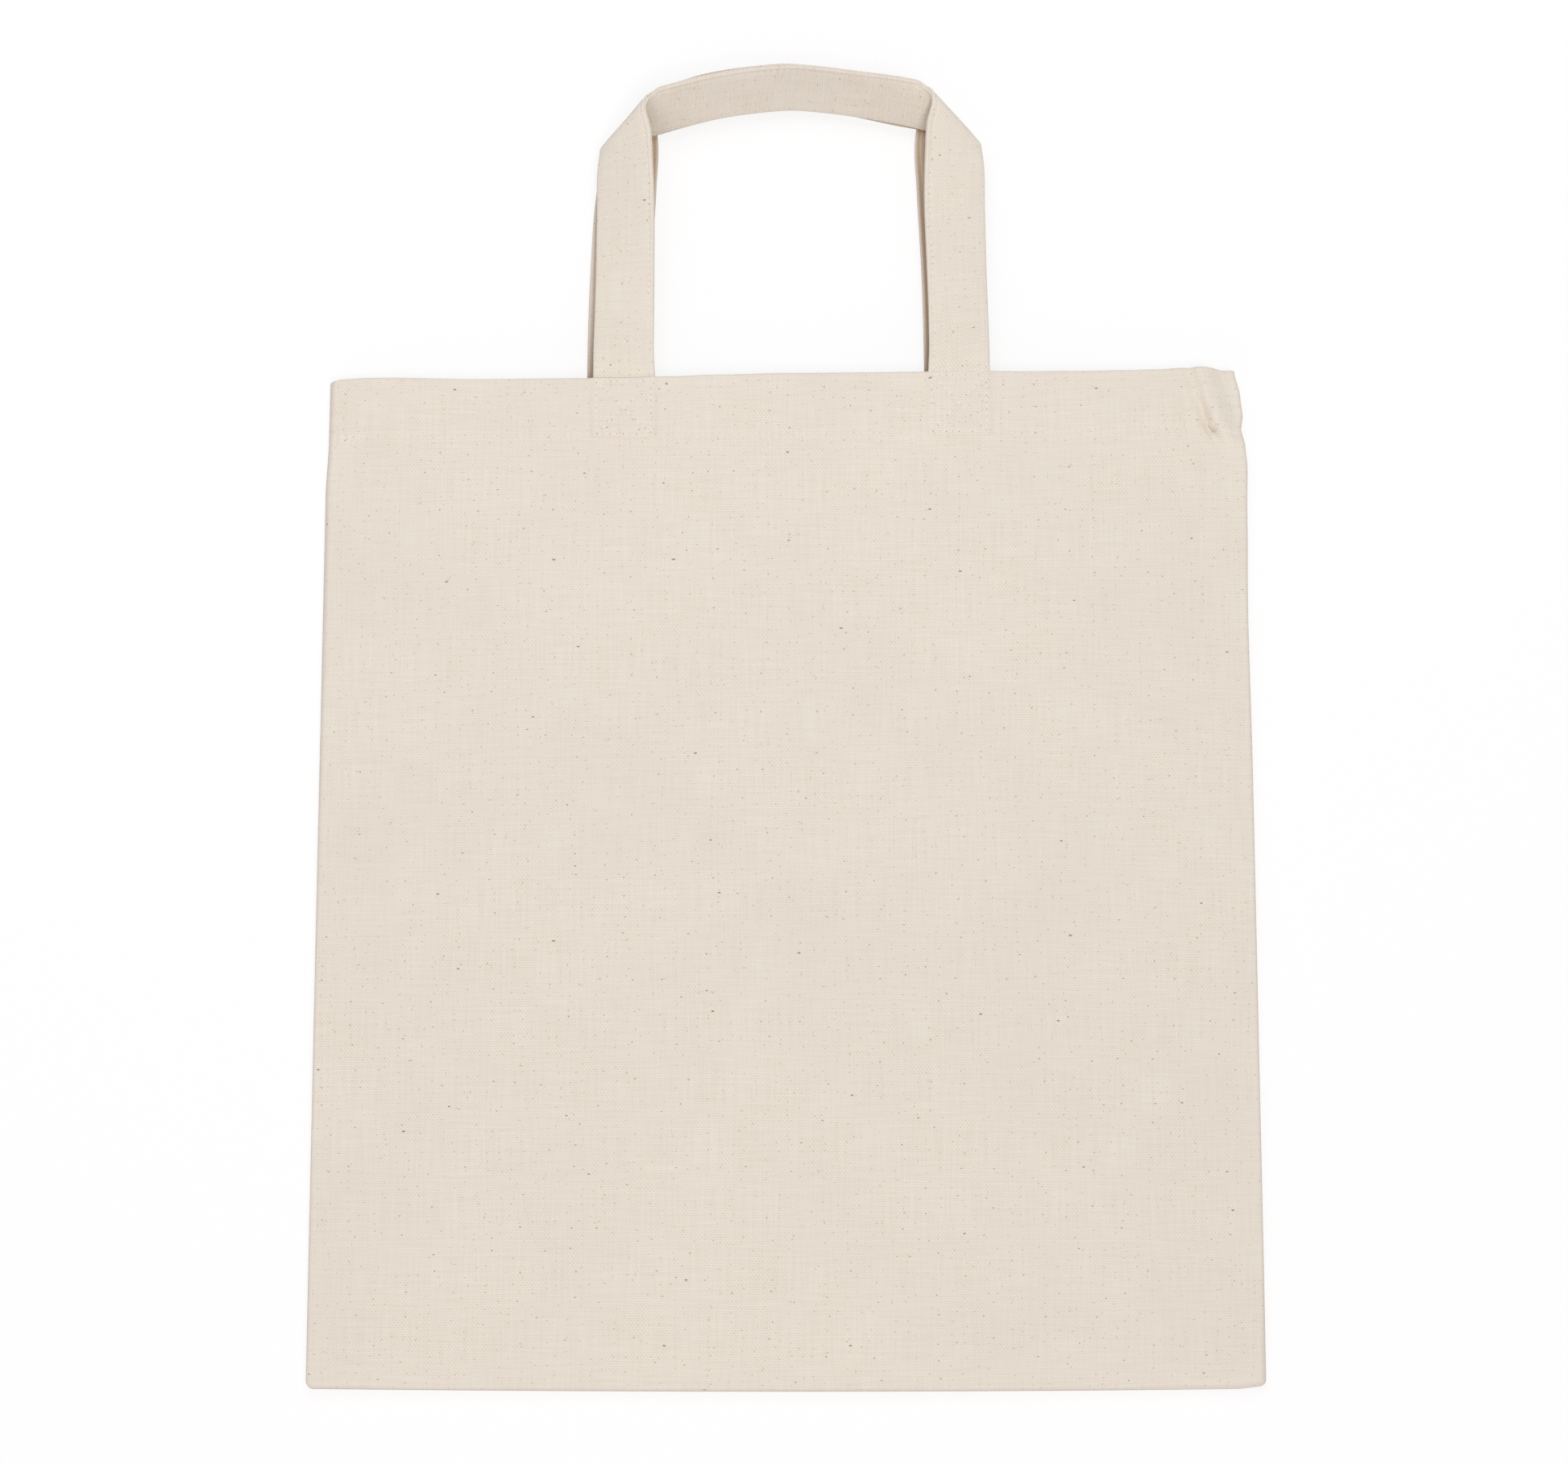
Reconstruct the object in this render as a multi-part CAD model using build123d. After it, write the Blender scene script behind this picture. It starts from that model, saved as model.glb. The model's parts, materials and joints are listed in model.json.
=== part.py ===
"""Plain canvas tote bag, lying flat on its back panel.

Millimetres, +Z up. +X runs across the bag, +Y from the bottom seam to the handles.
The origin is the middle of the back panel's outer face, which rests on z = 0.
"""

from build123d import *
from math import asin, cos, degrees, hypot, radians, sin, sqrt
import os

# Driving sizes of the bag body.
BAG_W = 380.0
BAG_H = 416.0
PUFF = 12.6
CLOTH = 0.8
EDGE_R = 2.0
FALL = 40.0
SEAM_GAP = 0.3
TOUCH = 1e-6

# Hem and seam allowances.
HEM = 25.0
ALLOWANCE = 10.0
ALLOWANCE_INSET = 4.0

# Handle straps: canvas folded to four layers and topstitched along one edge.
STRAP_W = 25.5
STRAP_T = 2.0
STRAP_GAP = 0.3
FOLD_R = 1.7
FRONT_SPACING = 138.0
FRONT_SHIFT = 2.0
BACK_SPACING = 140.0
BACK_SHIFT = 0.0

# Sewing thread.
THREAD = 0.45
STITCH = 2.1
PITCH = 3.0
BEDDED = 0.1
BOX_INSET = 2.0
EDGE_ROW = 2.0
HEM_ROW = 1.6

# Places worked out from the sizes above.
MOUTH_Y = BAG_H / 2
BOTTOM_Y = -BAG_H / 2
SIDE_X = BAG_W / 2
FLAT_X = SIDE_X - FALL
FALL_R = (FALL**2 + (PUFF - EDGE_R) ** 2) / (2 * (PUFF - EDGE_R))
FALL_Z = PUFF - FALL_R
FRONT_HINGE_Z = PUFF - CLOTH
BACK_HINGE_Z = CLOTH
HINGE_Y = MOUTH_Y - CLOTH
FRONT_END_Z = PUFF - 2 * CLOTH - STRAP_T / 2
BACK_END_Z = 2 * CLOTH + STRAP_T / 2
FRONT_STRAP_Z = FRONT_END_Z - STRAP_GAP
BACK_STRAP_Z = BACK_END_Z + STRAP_GAP

os.makedirs("parts", exist_ok=True)


def save(shape, node):
    """Write one node's solids to its STEP file."""
    export_step(shape, f"parts/{node}.step")


def cross_section(inset):
    """Outline across the bag: flat back, rolled side edges and a front that falls to the seams."""
    right = SIDE_X - inset
    radius = FALL_R - inset
    seam_x = FLAT_X + sqrt(radius**2 - (EDGE_R - FALL_Z) ** 2)
    half = asin((seam_x - FLAT_X) / radius) / 2
    mid = (FLAT_X + radius * sin(half), FALL_Z + radius * cos(half))
    roll = EDGE_R - inset
    low = SIDE_X - EDGE_R
    roll_mid = (low + roll * sin(radians(45)), EDGE_R - roll * cos(radians(45)))
    with BuildLine() as outline:
        Line((0, inset), (low, inset))
        ThreePointArc((low, inset), roll_mid, (right, EDGE_R))
        if right - seam_x > TOUCH:
            Line((right, EDGE_R), (seam_x, EDGE_R))
        ThreePointArc((seam_x, EDGE_R), mid, (FLAT_X, PUFF - inset))
        Line((FLAT_X, PUFF - inset), (0, PUFF - inset))
        mirror(about=Plane.YZ)
    return make_face(outline.edges())


def long_section(inset, mouth):
    """Outline along the bag: the same roll and fall at the bottom, and an open end at the mouth."""
    bottom = BOTTOM_Y + inset
    flat_y = BOTTOM_Y + FALL
    radius = FALL_R - inset
    seam_y = flat_y - sqrt(radius**2 - (EDGE_R - FALL_Z) ** 2)
    half = asin((flat_y - seam_y) / radius) / 2
    mid = (flat_y - radius * sin(half), FALL_Z + radius * cos(half))
    roll = EDGE_R - inset
    low = BOTTOM_Y + EDGE_R
    roll_mid = (low - roll * sin(radians(45)), EDGE_R - roll * cos(radians(45)))
    with BuildLine() as outline:
        Line((mouth, inset), (low, inset))
        ThreePointArc((low, inset), roll_mid, (bottom, EDGE_R))
        if seam_y - bottom > TOUCH:
            Line((bottom, EDGE_R), (seam_y, EDGE_R))
        ThreePointArc((seam_y, EDGE_R), mid, (flat_y, PUFF - inset))
        Line((flat_y, PUFF - inset), (mouth, PUFF - inset))
        Line((mouth, PUFF - inset), (mouth, inset))
    return make_face(outline.edges())


def pillow(inset, mouth):
    """Solid of the bag's space at one depth of cloth, open or closed at the mouth plane."""
    across = extrude(Plane.XZ * cross_section(inset), amount=BAG_H + 40, both=True)
    along = extrude(Plane.YZ * long_section(inset, mouth), amount=BAG_W, both=True)
    return across & along


def slab(y0, y1, z0, z1, half=BAG_W):
    """Box between two lengths and two heights."""
    return Pos(0, (y0 + y1) / 2, (z0 + z1) / 2) * Box(2 * half, y1 - y0, z1 - z0)


def lip_round(hinge_z, side):
    """What is cut from one layer at the mouth so that the turned edge is half round."""
    low, high = sorted((hinge_z, hinge_z + 2 * side))
    corner = slab(HINGE_Y, MOUTH_Y + 1, low, high, FLAT_X)
    roll = Pos(0, HINGE_Y, hinge_z) * Rot(0, 90, 0) * Cylinder(CLOTH, BAG_W)
    return corner - roll


# Body cloth: an outer layer split at the seam line, and the hems turned in behind it.
outer = pillow(0.0, MOUTH_Y)
second = pillow(CLOTH, MOUTH_Y + 20)
third = pillow(2 * CLOTH, MOUTH_Y + 30)
shell = outer - second
turned = (second - third) & slab(MOUTH_Y - HEM, MOUTH_Y, 0, PUFF)
above = slab(BOTTOM_Y - 20, MOUTH_Y + 20, EDGE_R + SEAM_GAP, PUFF + 5)
below = slab(BOTTOM_Y - 20, MOUTH_Y + 20, -5, EDGE_R)

front_panel = (shell & above) - lip_round(FRONT_HINGE_Z, 1)
back_panel = (shell & below) - lip_round(BACK_HINGE_Z, -1)
front_hem = (turned & above) - lip_round(FRONT_HINGE_Z, -1)
back_hem = (turned & below) - lip_round(BACK_HINGE_Z, 1)
save(front_panel, "front_panel")
save(back_panel, "back_panel")
save(front_hem, "front_hem")
save(back_hem, "back_hem")

# Seam allowances: the two panels' raw edges, sewn face to face and lying inside on the back panel.
seam_x = SIDE_X - ALLOWANCE_INSET - ALLOWANCE / 2
seam_y0 = BOTTOM_Y + ALLOWANCE_INSET + ALLOWANCE + 1
seam_y1 = MOUTH_Y - HEM - 1
side_seam = Box(ALLOWANCE, seam_y1 - seam_y0, 2 * CLOTH)
seam_z = 2 * CLOTH
for node, sign in (("left_side_seam", -1), ("right_side_seam", 1)):
    save(Pos(sign * seam_x, (seam_y0 + seam_y1) / 2, seam_z) * side_seam, node)
    row = Box(THREAD, seam_y1 - seam_y0 - 4, THREAD / 2)
    thread_x = sign * (seam_x + ALLOWANCE / 2 - HEM_ROW)
    thread = Pos(thread_x, (seam_y0 + seam_y1) / 2, seam_z + CLOTH + THREAD / 4) * row
    save(thread, node.replace("side_seam", "seam_stitching"))
bottom_y = BOTTOM_Y + ALLOWANCE_INSET + ALLOWANCE / 2
bottom_len = BAG_W - 2 * ALLOWANCE_INSET
save(Pos(0, bottom_y, seam_z) * Box(bottom_len, ALLOWANCE, 2 * CLOTH), "bottom_seam")
bottom_row = Box(bottom_len - 4, THREAD, THREAD / 2)
bottom_thread_y = bottom_y - ALLOWANCE / 2 + HEM_ROW
save(Pos(0, bottom_thread_y, seam_z + CLOTH + THREAD / 4) * bottom_row, "bottom_seam_stitching")


def hem_place(across, face):
    """Place and tilt of a hem stitch at a distance across the front, measured along the cloth."""
    side = 1 if across > 0 else -1
    past = abs(across) - FLAT_X
    if past <= 0:
        return Pos(across, 0, face)
    radius = FALL_R - (PUFF - face)
    turn = past / radius
    x = FLAT_X + radius * sin(turn)
    z = FALL_Z + radius * cos(turn)
    return Pos(side * x, 0, z) * Rot(0, side * degrees(turn), 0)


def clear_of_straps(x, spacing, shift):
    """True where a hem stitch stays outside the boxes that hold the strap ends."""
    legs = (shift - spacing / 2, shift + spacing / 2)
    return min(abs(x - leg) for leg in legs) > STRAP_W / 2 + STITCH


# Hem rows: outside on the front, inside on the back, where the bag lies on its outer face.
stitch = Box(STITCH, THREAD, THREAD)
bed = THREAD / 2 - BEDDED
hem_y = MOUTH_Y - HEM + HEM_ROW
row_count = int((SIDE_X - 4 * EDGE_R) / PITCH)
front_row = []
back_row = []
for step in range(-row_count, row_count + 1):
    across = step * PITCH
    if clear_of_straps(across, FRONT_SPACING, FRONT_SHIFT):
        front_row.append(Pos(0, hem_y, 0) * hem_place(across, PUFF) * Pos(0, 0, bed) * stitch)
    if clear_of_straps(across, BACK_SPACING, BACK_SHIFT):
        back_row.append(Pos(across, hem_y, 2 * CLOTH + bed) * stitch)
save(Compound(front_row), "front_hem_stitching")
save(Compound(back_row), "back_hem_stitching")


def run_of_stitches(start, end, z):
    """Stitches at even spacing along one straight line of thread."""
    length = hypot(end[0] - start[0], end[1] - start[1])
    count = max(2, round(length / PITCH))
    angle = degrees(asin((end[1] - start[1]) / length))
    angle = angle if end[0] >= start[0] else 180 - angle
    run = []
    for index in range(count):
        share = (index + 0.5) / count
        x = start[0] + share * (end[0] - start[0])
        y = start[1] + share * (end[1] - start[1])
        run.append(Pos(x, y, z) * Rot(0, 0, angle) * stitch)
    return run


def box_and_cross(x, z):
    """Square of stitching with a cross inside, which holds one strap end to the hem."""
    half = STRAP_W / 2 - BOX_INSET
    y0 = hem_y
    y1 = MOUTH_Y - BOX_INSET
    a, b, c, d = (x - half, y0), (x + half, y0), (x + half, y1), (x - half, y1)
    trim = 1.6
    sides = run_of_stitches((a[0] + trim, y0), (b[0] - trim, y0), z)
    sides += run_of_stitches((d[0] + trim, y1), (c[0] - trim, y1), z)
    sides += run_of_stitches((a[0], y0 + trim), (d[0], y1 - trim), z)
    sides += run_of_stitches((b[0], y0 + trim), (c[0], y1 - trim), z)
    mid_y = (y0 + y1) / 2
    cross = []
    for corner in (a, b, c, d):
        dx, dy = corner[0] - x, corner[1] - mid_y
        near = (x + 0.09 * dx, mid_y + 0.09 * dy)
        far = (x + 0.88 * dx, mid_y + 0.88 * dy)
        cross += run_of_stitches(near, far, z)
    return Compound(sides + cross)


# Strap ends: sewn inside the mouth, flat against the turned hem.
end_y0 = MOUTH_Y - HEM
end_y1 = HINGE_Y - 0.4
strap_end = Box(STRAP_W, end_y1 - end_y0, STRAP_T)
for panel, spacing, shift, z in (
    ("front", FRONT_SPACING, FRONT_SHIFT, FRONT_END_Z),
    ("back", BACK_SPACING, BACK_SHIFT, BACK_END_Z),
):
    sewn_face = PUFF + bed if panel == "front" else BACK_END_Z + STRAP_T / 2 + bed
    for side, sign in (("left", -1), ("right", 1)):
        x = shift + sign * spacing / 2
        save(Pos(x, (end_y0 + end_y1) / 2, z) * strap_end, f"{panel}_handle_{side}_end")
        save(box_and_cross(x, sewn_face), f"{panel}_{side}_box_stitching")


def corner_roll(axis_b, axis_a, leg_normal, crown_normal):
    """Rulings round a soft folded corner: the strap turns about one slanting line."""
    first = Vector(*leg_normal).normalized()
    last = Vector(*crown_normal).normalized()
    middle = (first + last).normalized()
    turns = [first, (first + middle).normalized(), middle, (middle + last).normalized(), last]
    return [(axis_b + normal * FOLD_R, axis_a + normal * FOLD_R, normal) for normal in turns]


def half_loop(spacing, base_z, leg, fold, crown):
    """Rulings of the left half of a handle, from the foot of its leg to the middle of its crown.

    A ruling joins the strap's outer edge to its inner edge. x is measured from the leg's centre line
    for the leg and the fold, and from the handle's for the crown. y starts at the mouth.
    """
    centre = Vector(-spacing / 2, 0, 0)
    half = STRAP_W / 2
    rulings = [(centre + Vector(-half, -CLOTH, base_z), centre + Vector(half, -CLOTH, base_z), None)]
    rulings += [(centre + Vector(*b), centre + Vector(*a), None) for b, a in leg]
    axis_b, axis_a, leg_normal, crown_normal = fold
    rulings += corner_roll(centre + Vector(*axis_b), centre + Vector(*axis_a), leg_normal, crown_normal)
    rulings += [(Vector(*b), Vector(*a), None) for b, a in crown]
    return rulings


def across_middle(point):
    """The mirror image of a point or a direction in the handle's middle plane."""
    return Vector(-point.X, point.Y, point.Z) if point else None


def strap_frames(half, shift):
    """Edge points and face normal of every ruling of a whole handle, in the bag's frame."""
    rulings = half + [tuple(across_middle(part) for part in ruling) for ruling in reversed(half[:-1])]
    move = Vector(shift, MOUTH_Y, 0)
    frames = []
    for index, (b, a, normal) in enumerate(rulings):
        before = rulings[max(0, index - 1)]
        after = rulings[min(len(rulings) - 1, index + 1)]
        along = (after[0] + after[1]) - (before[0] + before[1])
        face = normal or (a - b).cross(along).normalized()
        frames.append((b + move, a + move, face))
    return frames


def strap_solid(frames):
    """Ruled band of the strap's thickness through its rulings."""
    sections = []
    for b, a, normal in frames:
        off = normal * (STRAP_T / 2)
        sections.append(make_face(Polyline(b - off, a - off, a + off, b + off, close=True)))
    return loft(sections, ruled=True)


def edge_stitching(frames):
    """Topstitching along the strap's open edge, on the face that the legs show."""
    row = []
    carry = 0.0
    for (b0, a0, n0), (b1, a1, n1) in zip(frames, frames[1:]):
        p0 = a0 + (b0 - a0).normalized() * EDGE_ROW
        p1 = a1 + (b1 - a1).normalized() * EDGE_ROW
        length = (p1 - p0).length
        while carry < length:
            share = carry / length
            normal = (n0 * (1 - share) + n1 * share).normalized()
            spot = p0 + (p1 - p0) * share + normal * (STRAP_T / 2 + bed)
            row.append(Plane(origin=spot, x_dir=p1 - p0, z_dir=normal) * stitch)
            carry += PITCH
        carry -= length
    return Compound(row[2:-2])


# Front handle: the legs lean inward, fold over softly at the corners, and the crown stands on its
# outer edge and leans outward.
front_half = half_loop(
    FRONT_SPACING,
    FRONT_STRAP_Z,
    [
        ((-12.6, 25.0, 9.2), (12.6, 25.0, 10.9)),
        ((-12.3, 50.0, 8.0), (12.2, 48.6, 14.4)),
        ((-12.1, 75.4, 7.2), (11.4, 72.4, 17.0)),
        ((-11.8, 95.0, 6.9), (10.4, 93.0, 19.4)),
        ((-11.3, 99.2, 6.9), (9.8, 105.6, 22.2)),
    ],
    ((-9.6, 101.6, 6.0), (10.2, 116.6, 24.2), (-0.54, -0.2, 0.82), (-0.2, 0.84, -0.51)),
    [
        ((-70.0, 105.4, 5.5), (-58.0, 119.6, 24.8)),
        ((-57.0, 108.4, 5.6), (-54.8, 121.4, 26.3)),
        ((-44.6, 112.2, 5.5), (-43.6, 125.0, 26.8)),
        ((-27.7, 116.6, 5.3), (-27.5, 129.0, 26.9)),
        ((-12.0, 118.9, 5.1), (-12.0, 131.0, 27.0)),
        ((0.0, 119.8, 5.0), (0.0, 131.8, 27.0)),
    ],
)
front_frames = strap_frames(front_half, FRONT_SHIFT)
save(strap_solid(front_frames), "front_handle")
save(edge_stitching(front_frames), "front_handle_stitching")

# Back handle: the legs lie on the ground and pass under the front crown, and the crown stands
# close behind it.
back_half = half_loop(
    BACK_SPACING,
    BACK_STRAP_Z,
    [
        ((-11.8, 50.0, 2.2), (13.6, 50.0, 2.4)),
        ((-9.4, 86.0, 1.5), (15.8, 86.0, 1.6)),
        ((-7.0, 99.6, 1.5), (16.4, 106.8, 1.7)),
        ((-6.0, 103.4, 1.6), (15.6, 113.0, 3.6)),
        ((-4.8, 105.8, 1.8), (14.4, 117.4, 7.6)),
    ],
    ((-3.6, 107.8, 2.2), (12.8, 120.8, 12.4), (0.12, -0.72, 0.68), (-0.26, 0.8, -0.54)),
    [
        ((-63.0, 111.2, 1.5), (-54.0, 123.0, 15.2)),
        ((-44.0, 114.8, 1.5), (-42.0, 127.2, 20.4)),
        ((-26.0, 118.8, 1.5), (-25.4, 130.4, 23.0)),
        ((-12.0, 121.2, 1.5), (-11.8, 131.9, 23.7)),
        ((0.0, 122.2, 1.5), (0.0, 132.8, 23.8)),
    ],
)
back_frames = strap_frames(back_half, BACK_SHIFT)
save(strap_solid(back_frames), "back_handle")
save(edge_stitching(back_frames), "back_handle_stitching")
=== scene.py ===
"""Natural cotton canvas tote bag, laid flat on its back panel, with two short folded strap handles.

Every length in the classes below is in millimetres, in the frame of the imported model: +X across
the bag, +Y from the bottom seam to the handles, +Z up from the surface that the bag lies on.
"""

import json
import logging
import math
from dataclasses import dataclass, field, replace
from enum import Enum
from typing import Callable, Dict, List, Optional, Sequence, Tuple

import bmesh
import bpy
from mathutils import Matrix, Vector, noise


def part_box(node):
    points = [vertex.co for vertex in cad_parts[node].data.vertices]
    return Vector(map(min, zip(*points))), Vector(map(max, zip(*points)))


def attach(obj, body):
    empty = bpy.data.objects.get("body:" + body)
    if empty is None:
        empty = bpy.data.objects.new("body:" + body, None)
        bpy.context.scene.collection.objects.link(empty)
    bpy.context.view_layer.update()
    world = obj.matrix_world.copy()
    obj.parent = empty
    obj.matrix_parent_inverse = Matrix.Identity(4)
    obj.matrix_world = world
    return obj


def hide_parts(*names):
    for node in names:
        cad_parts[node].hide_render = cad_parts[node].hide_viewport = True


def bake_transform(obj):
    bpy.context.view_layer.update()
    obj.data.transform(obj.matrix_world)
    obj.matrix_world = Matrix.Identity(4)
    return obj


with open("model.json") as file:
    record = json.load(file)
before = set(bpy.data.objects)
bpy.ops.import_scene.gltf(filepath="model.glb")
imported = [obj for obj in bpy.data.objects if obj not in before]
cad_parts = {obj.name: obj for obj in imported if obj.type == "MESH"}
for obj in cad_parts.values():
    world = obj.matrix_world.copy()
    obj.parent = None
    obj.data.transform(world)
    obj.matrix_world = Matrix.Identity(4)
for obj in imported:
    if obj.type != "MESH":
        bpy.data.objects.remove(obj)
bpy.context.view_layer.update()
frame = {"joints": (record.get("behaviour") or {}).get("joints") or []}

log = logging.getLogger("tote_bag")

MM = 0.001
CLOTH_UV = "cloth"
STRAP_WIDTH = 25.5
UP = Vector((0, 0, 1))

Pair = Tuple[float, float]
Triple = Tuple[float, float, float]
Ruling = Tuple[Vector, Vector]
Tree = bpy.types.NodeTree
Socket = bpy.types.NodeSocket
Material = bpy.types.Material
Piece = bpy.types.Object


class Side(Enum):
    """Left or right half of the bag, seen from the front; the value is the sign of x."""

    LEFT = -1
    RIGHT = 1


class Panel(Enum):
    """Panel that a handle is sewn to."""

    FRONT = "front"
    BACK = "back"


class Body(Enum):
    """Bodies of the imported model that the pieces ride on."""

    BAG = "bag"
    FRONT = "front"
    FRONT_LOOP = "front_loop"
    BACK_LOOP = "back_loop"


class Slot(Enum):
    """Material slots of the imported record."""

    BODY = "body_canvas"
    STRAP = "strap_canvas"
    THREAD = "cotton_thread"


class Kind(Enum):
    """Kinds of shader node that the finishes and the studio use."""

    BACKGROUND = "ShaderNodeBackground"
    BUMP = "ShaderNodeBump"
    CELLS = "ShaderNodeTexVoronoi"
    DIFFUSE = "ShaderNodeBsdfDiffuse"
    EMISSION = "ShaderNodeEmission"
    LIGHT_PATH = "ShaderNodeLightPath"
    MATH = "ShaderNodeMath"
    MIX = "ShaderNodeMix"
    MIX_SHADER = "ShaderNodeMixShader"
    NOISE = "ShaderNodeTexNoise"
    OCCLUSION = "ShaderNodeAmbientOcclusion"
    RANGE = "ShaderNodeMapRange"
    SPLIT = "ShaderNodeSeparateXYZ"
    SURFACE_OUT = "ShaderNodeOutputMaterial"
    UV = "ShaderNodeUVMap"
    VECTOR = "ShaderNodeVectorMath"
    WORLD_OUT = "ShaderNodeOutputWorld"


def linear(hex_colour: str) -> Tuple[float, float, float, float]:
    """Turn an sRGB hex colour into linear red, green, blue and alpha.

    Args:
        hex_colour: Six hex digits after a hash sign.

    Returns:
        The linear colour with an alpha of 1.
    """
    parts = [int(hex_colour[start : start + 2], 16) / 255 for start in (1, 3, 5)]
    low = [part / 12.92 if part <= 0.04045 else ((part + 0.055) / 1.055) ** 2.4 for part in parts]
    return (low[0], low[1], low[2], 1.0)


def add(tree: Tree, kind: Kind, inputs: Optional[Dict] = None, **settings: object) -> bpy.types.Node:
    """Add a node with its settings, and set or link its inputs.

    Args:
        tree: Node tree that gets the node.
        kind: Kind of node.
        inputs: Input name or index to a value, or to the socket that feeds it.
        **settings: Properties of the node itself.

    Returns:
        The new node.
    """
    node = tree.nodes.new(kind.value)
    for name, value in settings.items():
        setattr(node, name, value)
    for key, value in (inputs or {}).items():
        if isinstance(value, Socket):
            tree.links.new(value, node.inputs[key])
        else:
            node.inputs[key].default_value = value
    return node


def ease(low: float, high: float, value: float) -> float:
    """Smooth step from 0 at low to 1 at high."""
    share = min(1.0, max(0.0, (value - low) / (high - low)))
    return share * share * (3 - 2 * share)


def hump(distance: float, width: float) -> float:
    """Bell curve of height 1 that falls to about a third at one width."""
    return math.exp(-((distance / width) ** 2))


def along_points(points: Sequence[Pair], at: float) -> float:
    """Smooth value along a short list of (place, value) points.

    Args:
        points: Places in rising order with their values.
        at: Place to read.

    Returns:
        The eased value, held level past both ends.
    """
    if at <= points[0][0]:
        return points[0][1]
    for (place0, value0), (place1, value1) in zip(points, points[1:]):
        if at <= place1:
            return value0 + (value1 - value0) * ease(place0, place1, at)
    return points[-1][1]


def to_segment(x: float, y: float, start: Pair, end: Pair) -> float:
    """Distance from a point to a straight stretch between two points.

    Args:
        x: Place of the point across.
        y: Place of the point along.
        start: First end of the stretch.
        end: Other end of the stretch.

    Returns:
        The shortest distance.
    """
    run = Vector((end[0] - start[0], end[1] - start[1]))
    reach = Vector((x - start[0], y - start[1]))
    share = min(1.0, max(0.0, reach.dot(run) / run.length_squared))
    return (reach - run * share).length


def spread(stretches: Sequence[Triple]) -> List[float]:
    """Grid lines over joined stretches, each with its own spacing.

    Args:
        stretches: (start, end, spacing) of each stretch, end to end.

    Returns:
        The places of the grid lines.
    """
    lines = [stretches[0][0]]
    for start, end, spacing in stretches:
        count = max(1, round(abs(end - start) / spacing))
        lines += [start + (end - start) * step / count for step in range(1, count + 1)]
    return lines


def cloth_grid(
    columns: Sequence[float], rows: Sequence[float], place: Callable[[float, float], Vector]
) -> bmesh.types.BMesh:
    """Lay a grid of cloth in space, with a UV map in metres of flat cloth.

    Args:
        columns: Flat places of the grid lines across the cloth.
        rows: Flat places of the grid lines along the cloth.
        place: Gives the place in space, in millimetres, of a flat place.

    Returns:
        The bmesh of the laid cloth.
    """
    cloth = bmesh.new()
    last_column = len(columns) - 1
    last_row = len(rows) - 1
    bmesh.ops.create_grid(cloth, x_segments=last_column, y_segments=last_row, size=1.0)
    flat = {}
    for vert in cloth.verts:
        column = columns[round((vert.co.x + 1) / 2 * last_column)]
        row = rows[round((vert.co.y + 1) / 2 * last_row)]
        flat[vert] = Vector((column, row)) * MM
        vert.co = place(column, row) * MM
    layer = cloth.loops.layers.uv.new(CLOTH_UV)
    for face in cloth.faces:
        face.smooth = True
        for loop in face.loops:
            loop[layer].uv = flat[loop.vert]
    return cloth


def finish_mesh(shape: bmesh.types.BMesh, name: str, material: Material) -> Piece:
    """Make an object at the origin from a finished bmesh, and report it.

    Args:
        shape: The bmesh, which is freed.
        name: Name of the piece.
        material: Its finish.

    Returns:
        The new object, linked to the scene.
    """
    mesh = bpy.data.meshes.new(name)
    shape.to_mesh(mesh)
    shape.free()
    mesh.materials.append(material)
    piece = bpy.data.objects.new(name, mesh)
    bpy.context.scene.collection.objects.link(piece)
    log.info("%s: %d faces", name, len(mesh.polygons))
    return piece


def thicken(piece: Piece, thickness: float, offset: float) -> None:
    """Give a sheet its thickness: an offset of -1 is all behind its face, 0 is half on each side."""
    wall = piece.modifiers.new("cloth", "SOLIDIFY")
    wall.thickness, wall.offset = thickness * MM, offset


def stitch_frame(spot: Vector, ahead: Vector, out: Vector) -> Matrix:
    """Turn and place of a stitch on a face of cloth.

    Args:
        spot: Place of its middle.
        ahead: Direction that it runs in.
        out: Direction out of the cloth, about square to it.

    Returns:
        A matrix with X ahead, Z out of the cloth and Y beside.
    """
    x_axis = ahead.normalized()
    z_axis = (out - x_axis * out.dot(x_axis)).normalized()
    y_axis = z_axis.cross(x_axis)
    turn = Matrix((x_axis, y_axis, z_axis)).transposed()
    return Matrix.Translation(spot) @ turn.to_4x4()


@dataclass(frozen=True)
class Speck:
    """One kind of seed fleck: of the squares of cloth, each one cell wide, the share kept holds a fleck.

    depth is how far the tint covers the cloth. A stretch below 1 makes a fleck longer across, and a
    squat above 1 makes it lower. sizes are its least and greatest share of the radius, and core is
    the share of the radius that has the full tint.
    """

    cell: float
    kept: float
    radius: float
    tint: str
    depth: float
    stretch: float = 1.0
    squat: float = 1.3
    sizes: Pair = (0.7, 1.35)
    core: float = 0.3


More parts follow.
